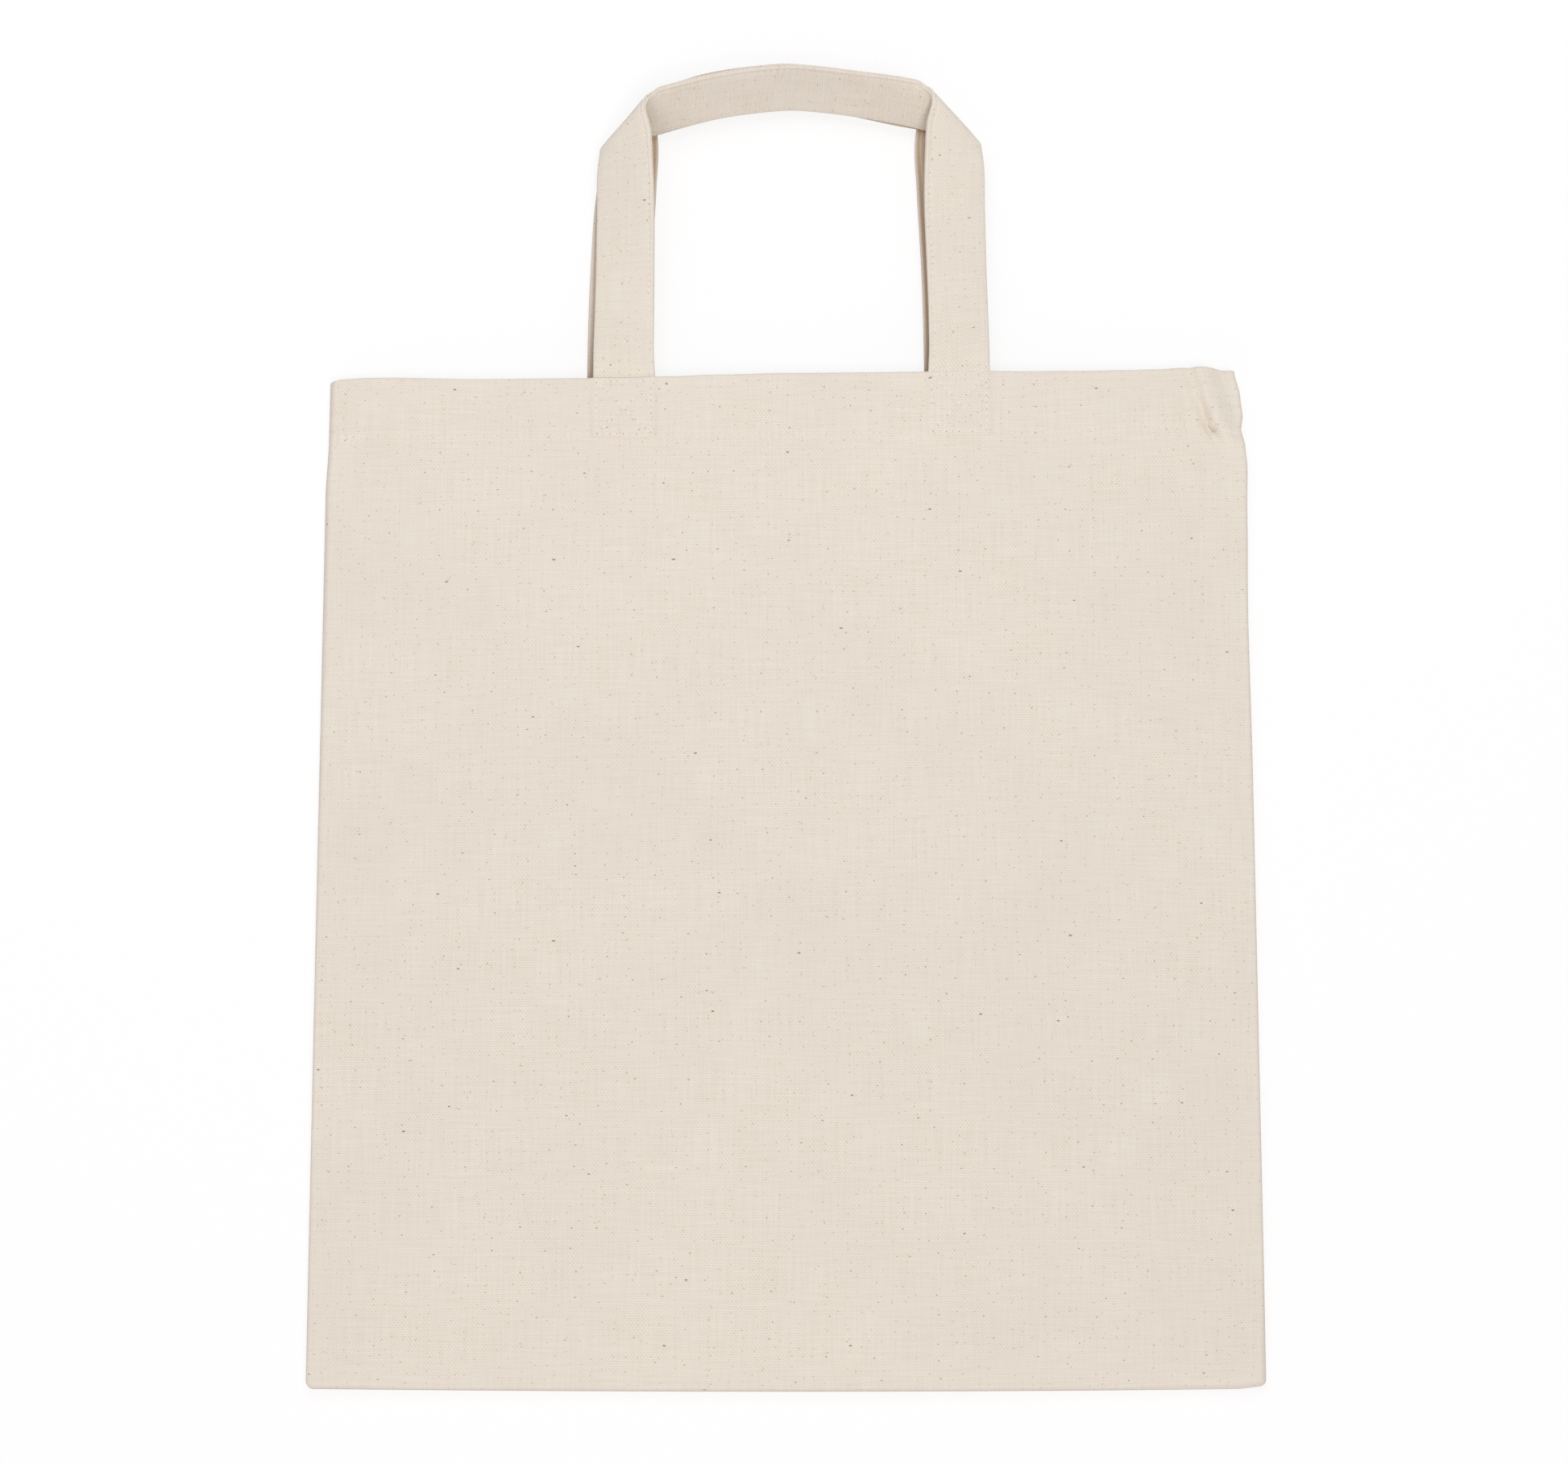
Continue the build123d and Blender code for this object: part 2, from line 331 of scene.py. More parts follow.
@dataclass(frozen=True)
class CanvasFinish:
    """Unbleached cotton canvas, plain-woven and unwashed.

    To the eye it is matt and warm: pale rows of weft with tan gaps between them, uneven spinning, brown
    seed flecks, and a browner painted shade in creases and where two layers lie close.

    A span is the size of a soft pattern, and a range is the part of it that goes from none to full. The
    slubs are the width and height of the thick places in the weft and in the warp. The painted shade tint
    starts where the share of open sky, within shade_reach, is below shade_start, and is full shade_range
    lower.
    """

    name: str
    thread_light: str = "#EEECE3"
    thread_deep: str = "#E6E0D5"
    gap: str = "#CABA9E"
    cloud: str = "#E1DAD1"
    # Painted shade: the tint, and how much and how near the ambient occlusion must be for it to show.
    shade_tint: str = "#C2A59A"
    shade_share: float = 0.4
    shade_reach: float = 8.0
    shade_start: float = 0.92
    shade_range: float = 0.4
    row_pitch: float = 0.9
    dot_pitch: float = 1.36
    drawn_coarser: float = 1.05
    row_depth: float = 0.18
    dot_depth: float = 0.3
    dot_slant: float = 0.74
    wander: float = 1.3
    wander_span: float = 8.33
    slubs: Tuple[Pair, Pair] = ((20.0, 1.11), (0.91, 25.0))
    slub_range: Pair = (0.65, 1.35)
    patch_span: float = 28.6
    patch_range: Pair = (0.35, 0.65)
    faint_dots: float = 0.45
    cloud_span: float = 71.4
    cloud_range: Pair = (0.42, 0.75)
    cloud_share: float = 0.4
    relief: float = 0.14
    relief_strength: float = 0.28
    dot_relief: float = 1.2
    roughness: float = 0.95
    specular: float = 0.15
    sheen: float = 0.06
    sheen_roughness: float = 0.5
    specks: Tuple[Speck, ...] = (
        Speck(4.6, 0.5, 0.4, "#CBAA78", 0.7),
        Speck(11.0, 0.55, 0.44, "#B08A56", 0.8),
        Speck(34.0, 0.5, 0.5, "#86603A", 0.9, stretch=0.65),
    )

    def build(self) -> Material:
        """Make the material on the piece's own UV map, which is in metres of flat cloth.

        Returns:
            The finished material.
        """
        material = bpy.data.materials.new(self.name)
        material.use_nodes = True
        tree = material.node_tree
        shader = tree.nodes["Principled BSDF"]
        uv = add(tree, Kind.UV, uv_map=CLOTH_UV).outputs["UV"]
        flat = add(tree, Kind.VECTOR, {0: uv, "Scale": 1 / MM}, operation="SCALE").outputs["Vector"]
        lines, dots = self.weave(tree, flat)
        colour = self.thread_colour(tree, flat, lines, dots)
        for speck in self.specks:
            colour = self.flecked(tree, flat, colour, speck)
        tree.links.new(self.painted_shade(tree, colour), shader.inputs["Base Color"])
        sunk = {0: dots, 1: self.dot_relief, 2: lines}
        sunk = add(tree, Kind.MATH, sunk, operation="MULTIPLY_ADD").outputs[0]
        relief = {"Height": sunk, "Strength": self.relief_strength, "Distance": self.relief * MM}
        bump = add(tree, Kind.BUMP, relief, invert=True)
        tree.links.new(bump.outputs["Normal"], shader.inputs["Normal"])
        shader.inputs["Roughness"].default_value = self.roughness
        shader.inputs["Specular IOR Level"].default_value = self.specular
        shader.inputs["Sheen Weight"].default_value = self.sheen
        shader.inputs["Sheen Roughness"].default_value = self.sheen_roughness
        return material

    def weave(self, tree: Tree, flat: Socket) -> Tuple[Socket, Socket]:
        """Lines between the rows of weft, and the spots on them where the warp comes up.

        The real rows are 0.9 mm apart and their spots 1.36 mm apart, with every other row set half
        way on. That is close to the finest that the picture can show, so both are drawn coarser by
        the factor of drawn_coarser. Most spots lean along one diagonal, as the dot_slant share says.

        Args:
            tree: Node tree of the canvas.
            flat: Socket with the flat place in millimetres.

        Returns:
            Sockets of the lines and of the spots, both from 0 on the threads to 1 in the gaps.
        """
        drift = {"Vector": flat, "Scale": 1 / self.wander_span, "Detail": 3.0}
        drift = add(tree, Kind.NOISE, drift).outputs["Color"]
        centred = {0: drift, 1: (0.5, 0.5, 0.5)}
        drift = add(tree, Kind.VECTOR, centred, operation="SUBTRACT").outputs["Vector"]
        wander = {0: drift, 1: (self.wander, self.wander, 0.0), 2: flat}
        place = add(tree, Kind.VECTOR, wander, operation="MULTIPLY_ADD").outputs["Vector"]
        across = 2 * math.pi / (self.dot_pitch * self.drawn_coarser)
        along = math.pi / (self.row_pitch * self.drawn_coarser)
        turns = {0: place, 1: (across, along, 0.0)}
        angles = add(tree, Kind.VECTOR, turns, operation="MULTIPLY").outputs["Vector"]
        axes = add(tree, Kind.SPLIT, {0: angles})
        x, y = axes.outputs["X"], axes.outputs["Y"]
        row = add(tree, Kind.MATH, {0: y}, operation="SINE").outputs[0]
        lines = add(tree, Kind.MATH, {0: row, 1: row}, operation="MULTIPLY").outputs[0]
        down = add(tree, Kind.MATH, {0: x, 1: y}, operation="ADD").outputs[0]
        down = add(tree, Kind.MATH, {0: down}, operation="SINE").outputs[0]
        up = add(tree, Kind.MATH, {0: y, 1: x}, operation="SUBTRACT").outputs[0]
        up = add(tree, Kind.MATH, {0: up}, operation="SINE").outputs[0]
        up = add(tree, Kind.MATH, {0: up, 1: 1 - self.dot_slant}, operation="MULTIPLY").outputs[0]
        chequer = {0: down, 1: self.dot_slant, 2: up}
        chequer = add(tree, Kind.MATH, chequer, operation="MULTIPLY_ADD").outputs[0]
        dots = add(tree, Kind.MATH, {0: chequer, 1: 0.0}, operation="MAXIMUM").outputs[0]
        return lines, dots

    def thread_colour(self, tree: Tree, flat: Socket, lines: Socket, dots: Socket) -> Socket:
        """Colour of the threads: uneven spinning along each thread, tan gaps and soft clouds.

        Args:
            tree: Node tree of the canvas.
            flat: Socket with the flat place in millimetres.
            lines: Socket with the lines between rows.
            dots: Socket with the spots on those lines.

        Returns:
            The colour socket.
        """
        spun = []
        for wide, high in self.slubs:
            run = {0: flat, 1: (1 / wide, 1 / high, 1.0)}
            run = add(tree, Kind.VECTOR, run, operation="MULTIPLY").outputs["Vector"]
            spun.append(add(tree, Kind.NOISE, {"Vector": run, "Scale": 1.0, "Detail": 2.0}).outputs["Fac"])
        uneven = add(tree, Kind.MATH, {0: spun[0], 1: spun[1]}, operation="ADD").outputs[0]
        uneven = {0: uneven, 1: self.slub_range[0], 2: self.slub_range[1]}
        uneven = add(tree, Kind.RANGE, uneven).outputs[0]
        pale = {0: uneven, 6: linear(self.thread_light), 7: linear(self.thread_deep)}
        thread = add(tree, Kind.MIX, pale, data_type="RGBA").outputs[2]
        patch = {"Vector": flat, "Scale": 1 / self.patch_span, "Detail": 4.0}
        patch = add(tree, Kind.NOISE, patch).outputs["Fac"]
        loose = {0: patch, 1: self.patch_range[0], 2: self.patch_range[1], 3: self.faint_dots, 4: 1.0}
        loose = add(tree, Kind.RANGE, loose).outputs[0]
        spots = add(tree, Kind.MATH, {0: dots, 1: loose}, operation="MULTIPLY").outputs[0]
        spots = add(tree, Kind.MATH, {0: spots, 1: self.dot_depth}, operation="MULTIPLY").outputs[0]
        gaps = {0: lines, 1: self.row_depth, 2: spots}
        gaps = add(tree, Kind.MATH, gaps, operation="MULTIPLY_ADD").outputs[0]
        woven = {0: gaps, 6: thread, 7: linear(self.gap)}
        cloth = add(tree, Kind.MIX, woven, data_type="RGBA").outputs[2]
        drift = {"Vector": flat, "Scale": 1 / self.cloud_span, "Detail": 3.0}
        drift = add(tree, Kind.NOISE, drift).outputs["Fac"]
        drift = {0: drift, 1: self.cloud_range[0], 2: self.cloud_range[1], 3: 0.0, 4: self.cloud_share}
        drift = add(tree, Kind.RANGE, drift).outputs[0]
        clouded = {0: drift, 6: cloth, 7: linear(self.cloud)}
        return add(tree, Kind.MIX, clouded, data_type="RGBA").outputs[2]

    def flecked(self, tree: Tree, flat: Socket, colour: Socket, speck: Speck) -> Socket:
        """Scatter one kind of fleck over the colour.

        Args:
            tree: Node tree of the canvas.
            flat: Socket with the flat place in millimetres.
            colour: Socket with the colour so far.
            speck: Kind of fleck.

        Returns:
            The colour socket with the flecks.
        """
        grid = {0: flat, 1: (speck.stretch, speck.squat, 1.0)}
        grid = add(tree, Kind.VECTOR, grid, operation="MULTIPLY").outputs["Vector"]
        nearest = {"Vector": grid, "Scale": 1 / speck.cell}
        cells = add(tree, Kind.CELLS, nearest, voronoi_dimensions="2D")
        draw = add(tree, Kind.SPLIT, {0: cells.outputs["Color"]})
        small, large, core = [share * speck.radius / speck.cell for share in (*speck.sizes, speck.core)]
        rim = add(tree, Kind.RANGE, {0: draw.outputs["Y"], 3: small, 4: large}).outputs[0]
        spot = {0: cells.outputs["Distance"], 1: rim, 2: core, 3: 0.0, 4: speck.depth}
        spot = add(tree, Kind.RANGE, spot).outputs[0]
        chosen = {0: draw.outputs["X"], 1: speck.kept}
        chosen = add(tree, Kind.MATH, chosen, operation="LESS_THAN").outputs[0]
        share = add(tree, Kind.MATH, {0: spot, 1: chosen}, operation="MULTIPLY").outputs[0]
        tinted = {0: share, 6: colour, 7: linear(speck.tint)}
        return add(tree, Kind.MIX, tinted, data_type="RGBA").outputs[2]

    def painted_shade(self, tree: Tree, colour: Socket) -> Socket:
        """Painted shade: browner cloth where another layer lies close or the cloth folds, found by ambient
        occlusion.

        Args:
            tree: Node tree of the canvas.
            colour: Socket with the colour so far.

        Returns:
            The colour socket, with browner painted shade where another layer lies close above.
        """
        # Painted shade: base colour turns browner where the ambient occlusion finds other cloth close by.
        reach = {"Distance": self.shade_reach * MM}
        near = add(tree, Kind.OCCLUSION, reach, samples=8).outputs["AO"]
        full = self.shade_start - self.shade_range
        covered = {0: near, 1: self.shade_start, 2: full, 3: 0.0, 4: self.shade_share}
        share = add(tree, Kind.RANGE, covered).outputs[0]
        shaded = {0: share, 6: colour, 7: linear(self.shade_tint)}
        return add(tree, Kind.MIX, shaded, data_type="RGBA").outputs[2]


@dataclass(frozen=True)
class ThreadFinish:
    """Spun cotton sewing thread.

    To the eye it is matt and close to the canvas, with painted shade where a stitch dives into its needle
    hole.
    dive is how far from the stitch's middle the painted shade starts and is full, in shares of its length.
    """

    name: str = "cotton_sewing_thread"
    light: str = "#F1EDED"
    # Painted shade of the needle hole, to which both ends of each stitch darken.
    hole: str = "#B29A7E"
    dive: Pair = (0.3, 0.48)
    roughness: float = 0.85
    specular: float = 0.2

    def build(self) -> Material:
        """Make the material on the stitches' own UV map, which runs from end to end of each stitch.

        Returns:
            The finished material.
        """
        material = bpy.data.materials.new(self.name)
        material.use_nodes = True
        tree = material.node_tree
        shader = tree.nodes["Principled BSDF"]
        uv = add(tree, Kind.UV, uv_map=CLOTH_UV).outputs["UV"]
        reach = add(tree, Kind.SPLIT, {0: uv}).outputs["Y"]
        off = add(tree, Kind.MATH, {0: reach, 1: 0.5}, operation="SUBTRACT").outputs[0]
        off = add(tree, Kind.MATH, {0: off}, operation="ABSOLUTE").outputs[0]
        # Painted shade: the colour darkens towards the hole at both ends of the stitch.
        dive = add(tree, Kind.RANGE, {0: off, 1: self.dive[0], 2: self.dive[1]}).outputs[0]
        shades = {0: dive, 6: linear(self.light), 7: linear(self.hole)}
        colour = add(tree, Kind.MIX, shades, data_type="RGBA").outputs[2]
        tree.links.new(colour, shader.inputs["Base Color"])
        shader.inputs["Roughness"].default_value = self.roughness
        shader.inputs["Specular IOR Level"].default_value = self.specular
        return material


@dataclass
class SewnBox:
    """Square of stitching with a cross inside, which holds one strap end to the hem."""

    centre_x: float
    low_y: float
    high_y: float
    half: float

    def lines(self) -> List[Tuple[Pair, Pair]]:
        """The six straight runs of thread.

        Returns:
            The end points of each run: four sides, then the cross.
        """
        left, right = self.centre_x - self.half, self.centre_x + self.half
        corners = [(left, self.low_y), (right, self.low_y), (right, self.high_y), (left, self.high_y)]
        sides = list(zip(corners, corners[1:] + corners[:1]))
        return sides + [(corners[0], corners[2]), (corners[1], corners[3])]

    def groove(self, x: float, y: float, width: float) -> float:
        """How far a point lies in the drawn-in line of the stitching.

        Args:
            x: Place across the panel.
            y: Place along the panel.
            width: Half width of the drawn-in line.

        Returns:
            A share from 0, clear of the thread, to 1, under it.
        """
        # Past four widths nothing is left of the line.
        reach = 4 * width
        near_x = abs(x - self.centre_x) < self.half + reach
        if not near_x or not self.low_y - reach < y < self.high_y + reach:
            return 0.0
        return hump(min(to_segment(x, y, start, end) for start, end in self.lines()), width)


@dataclass(frozen=True)
class Wave:
    """Soft unevenness of cloth: its length across and along, its place in the noise and its height."""

    across: float
    along: float
    seed: float
    height: float

    def at(self, x: float, y: float) -> float:
        """Height of the wave at a place."""
        return self.height * noise.noise(Vector((x / self.across, y / self.along, self.seed)))


@dataclass(frozen=True)
class Pucker:
    """Puff of the hem at the right corner, with a steep left flank where the cloth folds.

    It lies past the x and y of beyond, and gathered is the y where it starts and is full. line is the
    middle of the flank, as x for each y. The puff and its fold are deepest at one y, where the flank
    is steeper; rise and fold_depth are the amounts everywhere and what the deepest adds.
    """

    line: Tuple[Pair, ...] = (
        (174.0, 180.8), (181.0, 178.6), (189.0, 175.0), (197.0, 172.8), (208.0, 172.2),
    )
    beyond: Pair = (150.0, 165.0)
    gathered: Pair = (169.0, 184.0)
    deepest: float = 184.5
    deep_reach: float = 9.0
    flank: Pair = (-3.2, 2.8)
    steeper: float = 0.7
    far_side: Pair = (3.0, 13.0)
    rise: Pair = (2.4, 0.6)
    fold_place: float = -1.6
    fold_width: float = 2.5
    fold_depth: Pair = (0.49, 1.12)

    def height(self, x: float, y: float) -> float:
        """Height of the puff over the hem.

        Args:
            x: Place across the panel.
            y: Place along the panel.

        Returns:
            The height, below 0 in the fold.
        """
        if x <= self.beyond[0] or y <= self.beyond[1]:
            return 0.0
        past = x - along_points(self.line, y)
        deep = hump(y - self.deepest, self.deep_reach)
        trim = self.steeper * deep
        puff = ease(self.flank[0] + trim, self.flank[1] - trim, past) * (1 - ease(*self.far_side, past))
        rise, fold = [base + more * deep for base, more in (self.rise, self.fold_depth)]
        sunk = fold * hump(past - self.fold_place, self.fold_width)
        return ease(*self.gathered, y) * (rise * puff - sunk)


@dataclass
class BagForm:
    """How the cloth of the body lies: its outline, its fullness and its small unevenness.

    mouth_line lifts the mouth by an amount for each place across, and left_line and right_line draw
    the sides in by an amount for each place along. The lift fades in from lift_from up, and sooner on
    the right; the drawing in fades in from the share draw_from of the half width out. The edges roll
    crisply, with the power crisp_roll, and to a full round at the soft upper left and lower right. A
    pair that names an edge or a span holds where a change starts and where it is complete.
    """

    half_width: float
    bottom: float
    mouth: float
    fullness_z: float
    cloth: float = 0.8
    hem: float = 25.6
    hem_row: float = 1.0
    hem_step: float = 0.45
    hem_edge: Pair = (-2.2, -0.4)
    seam_z: float = 2.0
    roll: float = 2.8
    roll_rise: float = 4.2
    crisp_roll: float = 4.0
    full_roll: float = 2.0
    soft_left: Tuple[Pair, Pair] = ((0.0, -120.0), (-60.0, 110.0))
    soft_right: Pair = (110.0, 180.0)
    soft_low: float = 60.0
    fall: float = 120.0
    strap_width: float = STRAP_WIDTH
    strap_step: float = 0.75
    strap_edge: Pair = (-1.0, 1.6)
    box_inset: float = 1.45
    box_drop: float = 1.9
    box_dip: float = 0.26
    row_dip: float = 0.22
    dip_width: float = 0.9
    legs: Pair = (-67.0, 71.0)
    mouth_line: Tuple[Pair, ...] = (
        (-189.0, 0.6), (-184.0, 1.25), (-176.0, 1.5), (-120.0, -0.3), (-67.0, -0.2), (-48.0, 0.6),
        (-30.0, 1.3), (3.0, 2.1), (94.0, 3.0), (120.0, 3.4), (141.0, 4.1), (155.0, 4.8), (169.0, 5.8),
        (173.0, 5.9), (180.0, 5.8), (184.5, 5.1), (190.0, 5.3),
    )
    left_line: Tuple[Pair, ...] = ((160.0, 0.3), (184.0, 1.2), (208.0, 1.3))
    right_line: Tuple[Pair, ...] = (
        (40.0, 0.7), (110.0, 1.2), (150.0, 0.6), (169.0, 0.1), (176.0, 0.8), (184.0, 2.4), (189.0, 1.7),
        (196.0, 2.4), (208.0, 4.7),
    )
    lift_from: float = 165.0
    lift_sooner: float = 75.0
    lift_span: Pair = (100.0, 160.0)
    draw_from: float = 0.62
    tuck_from: float = 0.9
    bottom_bow: Pair = (0.05, 1.1)
    bow_reach: float = 60.0
    corner_lift: float = 0.9
    corner_span: Pair = (178.0, 189.0)
    corner_reach: float = 8.0
    waves: Tuple[Wave, ...] = (Wave(118.0, 132.0, 1.7, 0.9), Wave(41.0, 52.0, 6.2, 0.22))
    quiet_edge: float = 0.25
    back_ripple: Wave = Wave(60.0, 70.0, 11.0, 0.18)
    pucker: Pucker = Pucker()
    turn_grid: float = 0.45
    hem_grid: float = 3.0
    boxes: List[SewnBox] = field(init=False)

    def __post_init__(self) -> None:
        """Place the two boxes of stitching over the strap ends."""
        half = self.strap_width / 2 - self.box_inset
        high = self.mouth - self.box_drop
        self.boxes = [SewnBox(leg, self.hem_line, high, half) for leg in self.legs]

    @property
    def hem_line(self) -> float:
        """y of the row of hem stitching."""
        return self.mouth - self.hem + self.hem_row

    @property
    def lip_y(self) -> float:
        """y where the cloth starts to turn over at the mouth."""
        return self.mouth - self.cloth

    @property
    def turned_y(self) -> float:
        """Flat place along the panel where the cloth has turned over at the mouth."""
        return self.lip_y + self.turn_length

    @property
    def flat_x(self) -> float:
        """x where the flat of the panel ends and the rolled side edge starts."""
        return self.half_width - self.roll

    @property
    def flat_y(self) -> float:
        """y where the flat of the panel ends and the rolled bottom edge starts."""
        return self.bottom + self.roll

    @property
    def roll_length(self) -> float:
        """Length of cloth in the rolled edge, a quarter of an ellipse."""
        return math.pi / 2 * math.sqrt((self.roll**2 + self.roll_rise**2) / 2)

    @property
    def turn_length(self) -> float:
        """Length of cloth in the half round of the turned mouth."""
        return math.pi * self.cloth

    def rolled(self, out: float) -> float:
        """Share of the edge roll, from 0 on the flat to 1 at the seam, for a length past the flat."""
        return math.sin(min(1.0, max(0.0, out / self.roll_length)) * math.pi / 2)

    def edge(self, across: float, along: float) -> Triple:
        """Place a flat point inside the bag's outline, with rounded corners.

        Args:
            across: Flat place across the panel.
            along: Flat place along the panel, up to the mouth.

        Returns:
            x, y and the share of the roll's height that is left, from 1 on the flat to 0 at the seam.
        """
        side = 1 if across >= 0 else -1
        out_x = self.rolled(abs(across) - self.flat_x)
        out_y = self.rolled(self.flat_y - along)
        round_x = out_x * math.sqrt(1 - out_y**2 / 2)
        round_y = out_y * math.sqrt(1 - out_x**2 / 2)
        x = side * (min(abs(across), self.flat_x) + self.roll * round_x)
        y = max(along, self.flat_y) - self.roll * round_y
        power = self.squareness(x, y)
        out = min(1.0, math.hypot(round_x, round_y))
        return x, y, (1 - out**power) ** (1 / power)

    def squareness(self, x: float, y: float) -> float:
        """Power of the edge's roll at a place: 2 is a full round, more is a crisp edge.

        Args:
            x: Place across the panel.
            y: Place along the panel.

        Returns:
            The power, 2 at the soft upper left edge and the soft lower right corner.
        """
        upper_left = ease(*self.soft_left[0], x) * ease(*self.soft_left[1], y)
        lower_right = ease(*self.soft_right, x) * ease(self.bottom + self.soft_low, self.bottom, y)
        return self.crisp_roll - (self.crisp_roll - self.full_roll) * max(upper_left, lower_right)

    def fitted(self, x: float, y: float) -> Pair:
        """Move a point so that the outline follows the bag's own uneven edges.

        Args:
            x: Place across a bag with straight edges.
            y: Place along it.

        Returns:
            The moved place.
        """
        lift_start = self.lift_from - self.lift_sooner * ease(*self.lift_span, x)
        lifted = along_points(self.mouth_line, x) * ease(lift_start, self.mouth, y)
        line = self.left_line if x < 0 else self.right_line
        drawn_in = along_points(line, y) * ease(self.draw_from, 1.0, abs(x) / self.half_width)
        flat, curved = self.bottom_bow
        bow = flat + curved * (x / self.half_width) ** 2
        bow *= 1 - ease(self.bottom, self.bottom + self.bow_reach, y)
        corner = self.corner_lift * ease(*self.corner_span, x)
        bow += corner * (1 - ease(self.bottom, self.bottom + self.corner_reach, y))
        return x - math.copysign(drawn_in, x), y + lifted + bow

    def sewn_detail(self, x: float, y: float) -> float:
        """Height of the hem's second layer, the strap ends under it, the rows of thread and the pucker.

        Args:
            x: Place across the panel.
            y: Place along the panel.

        Returns:
            The height over the single cloth.
        """
        level = self.hem_step * ease(*self.hem_edge, y - self.hem_line)
        half = self.strap_width / 2
        if min(abs(x - leg) for leg in self.legs) > half:
            level -= self.row_dip * hump(y - self.hem_line, self.dip_width)
        raw_edge = self.mouth - self.hem
        for box in self.boxes:
            over_x = 1 - ease(*self.strap_edge, abs(x - box.centre_x) - half)
            over_y = 1 - ease(*self.strap_edge, raw_edge - y)
            level += self.strap_step * over_x * over_y
            level -= self.box_dip * box.groove(x, y, self.dip_width)
        return level + self.pucker.height(x, y)

    def front_height(self, x: float, y: float) -> float:
        """Height of the front cloth above the roll, away from its edges.

        Args:
            x: Place across the panel.
            y: Place along the panel.

        Returns:
            The height of the bag's fullness with its waves and sewn detail.
        """
        inner = max(0.0, self.flat_x - abs(x)) / self.fall
        lower = max(0.0, y - self.flat_y) / self.fall
        full = (1 - (1 - min(1.0, inner)) ** 2) * (1 - (1 - min(1.0, lower)) ** 2)
        rise = self.fullness_z - self.seam_z - self.roll_rise
        quiet = self.quiet_edge + (1 - self.quiet_edge) * full
        uneven = sum(wave.at(x, y) for wave in self.waves)
        return rise * full + uneven * quiet + self.sewn_detail(x, y)

    def turned(self, along: float) -> Triple:
        """Follow the cloth up the panel, over the mouth and down inside as the hem.

        Args:
            along: Flat place along the panel.

        Returns:
            y on the panel, the lift of the turned lip past it and the depth below the outer face.
        """
        past = max(0.0, along - self.lip_y)
        angle = min(past / self.cloth, math.pi)
        level = min(along, self.lip_y) - max(0.0, past - self.turn_length)
        return level, self.cloth * math.sin(angle), self.cloth * (1 - math.cos(angle))

    def tucked(self, x: float, depth: float) -> float:
        """Draw the turned hem's end in, so that it stays inside the side seam."""
        return x - math.copysign(depth * ease(self.tuck_from, 1.0, abs(x) / self.half_width), x)

    def hem_stretches(self) -> List[Triple]:
        """Stretches of grid lines that take a panel over the mouth and down inside.

        Returns:
            Start, end and spacing of the lip and of the turned hem.
        """
        end = self.turned_y + self.hem
        return [(self.lip_y, self.turned_y, self.turn_grid), (self.turned_y, end, self.hem_grid)]

    def front_point(self, across: float, along: float) -> Vector:
        """Place of the front panel's outer face for a flat place on the cloth.

        Args:
            across: Flat place across the panel.
            along: Flat place along the panel.

        Returns:
            The place in space.
        """
        level, lift, depth = self.turned(along)
        x, y, left = self.edge(across, level)
        z = self.seam_z + left * (self.roll_rise + self.front_height(x, y) - depth)
        fit_x, fit_y = self.fitted(self.tucked(x, depth), y)
        return Vector((fit_x, fit_y + lift, max(z, self.seam_z)))

    def back_point(self, across: float, along: float) -> Vector:
        """Place of the back panel's outer face, which lies on the ground.

        Args:
            across: Flat place across the panel.
            along: Flat place along the panel.

        Returns:
            The place in space.
        """
        level, lift, depth = self.turned(along)
        x, y, left = self.edge(across, level)
        ripple = max(0.0, self.back_ripple.at(x, y))
        z = self.seam_z * (1 - left) + left * (ripple + depth)
        fit_x, fit_y = self.fitted(self.tucked(x, depth), y)
        return Vector((fit_x, fit_y + lift, z))

    def front_frame(self, x: float, y: float, heading: Vector) -> Matrix:
        """Turn and place on the front face of a stitch that runs along a heading.

        Args:
            x: Flat place across the panel.
            y: Flat place along the panel.
            heading: Direction of the stitch in the flat.

        Returns:
            A matrix with its X axis along the stitch and its Z axis out of the cloth, in millimetres.
        """
        step = 0.6
        spot = self.front_point(x, y)
        ahead = self.front_point(x + heading.x * step, y + heading.y * step) - spot
        beside = self.front_point(x - heading.y * step, y + heading.x * step) - spot
        return stitch_frame(spot, ahead, ahead.cross(beside))


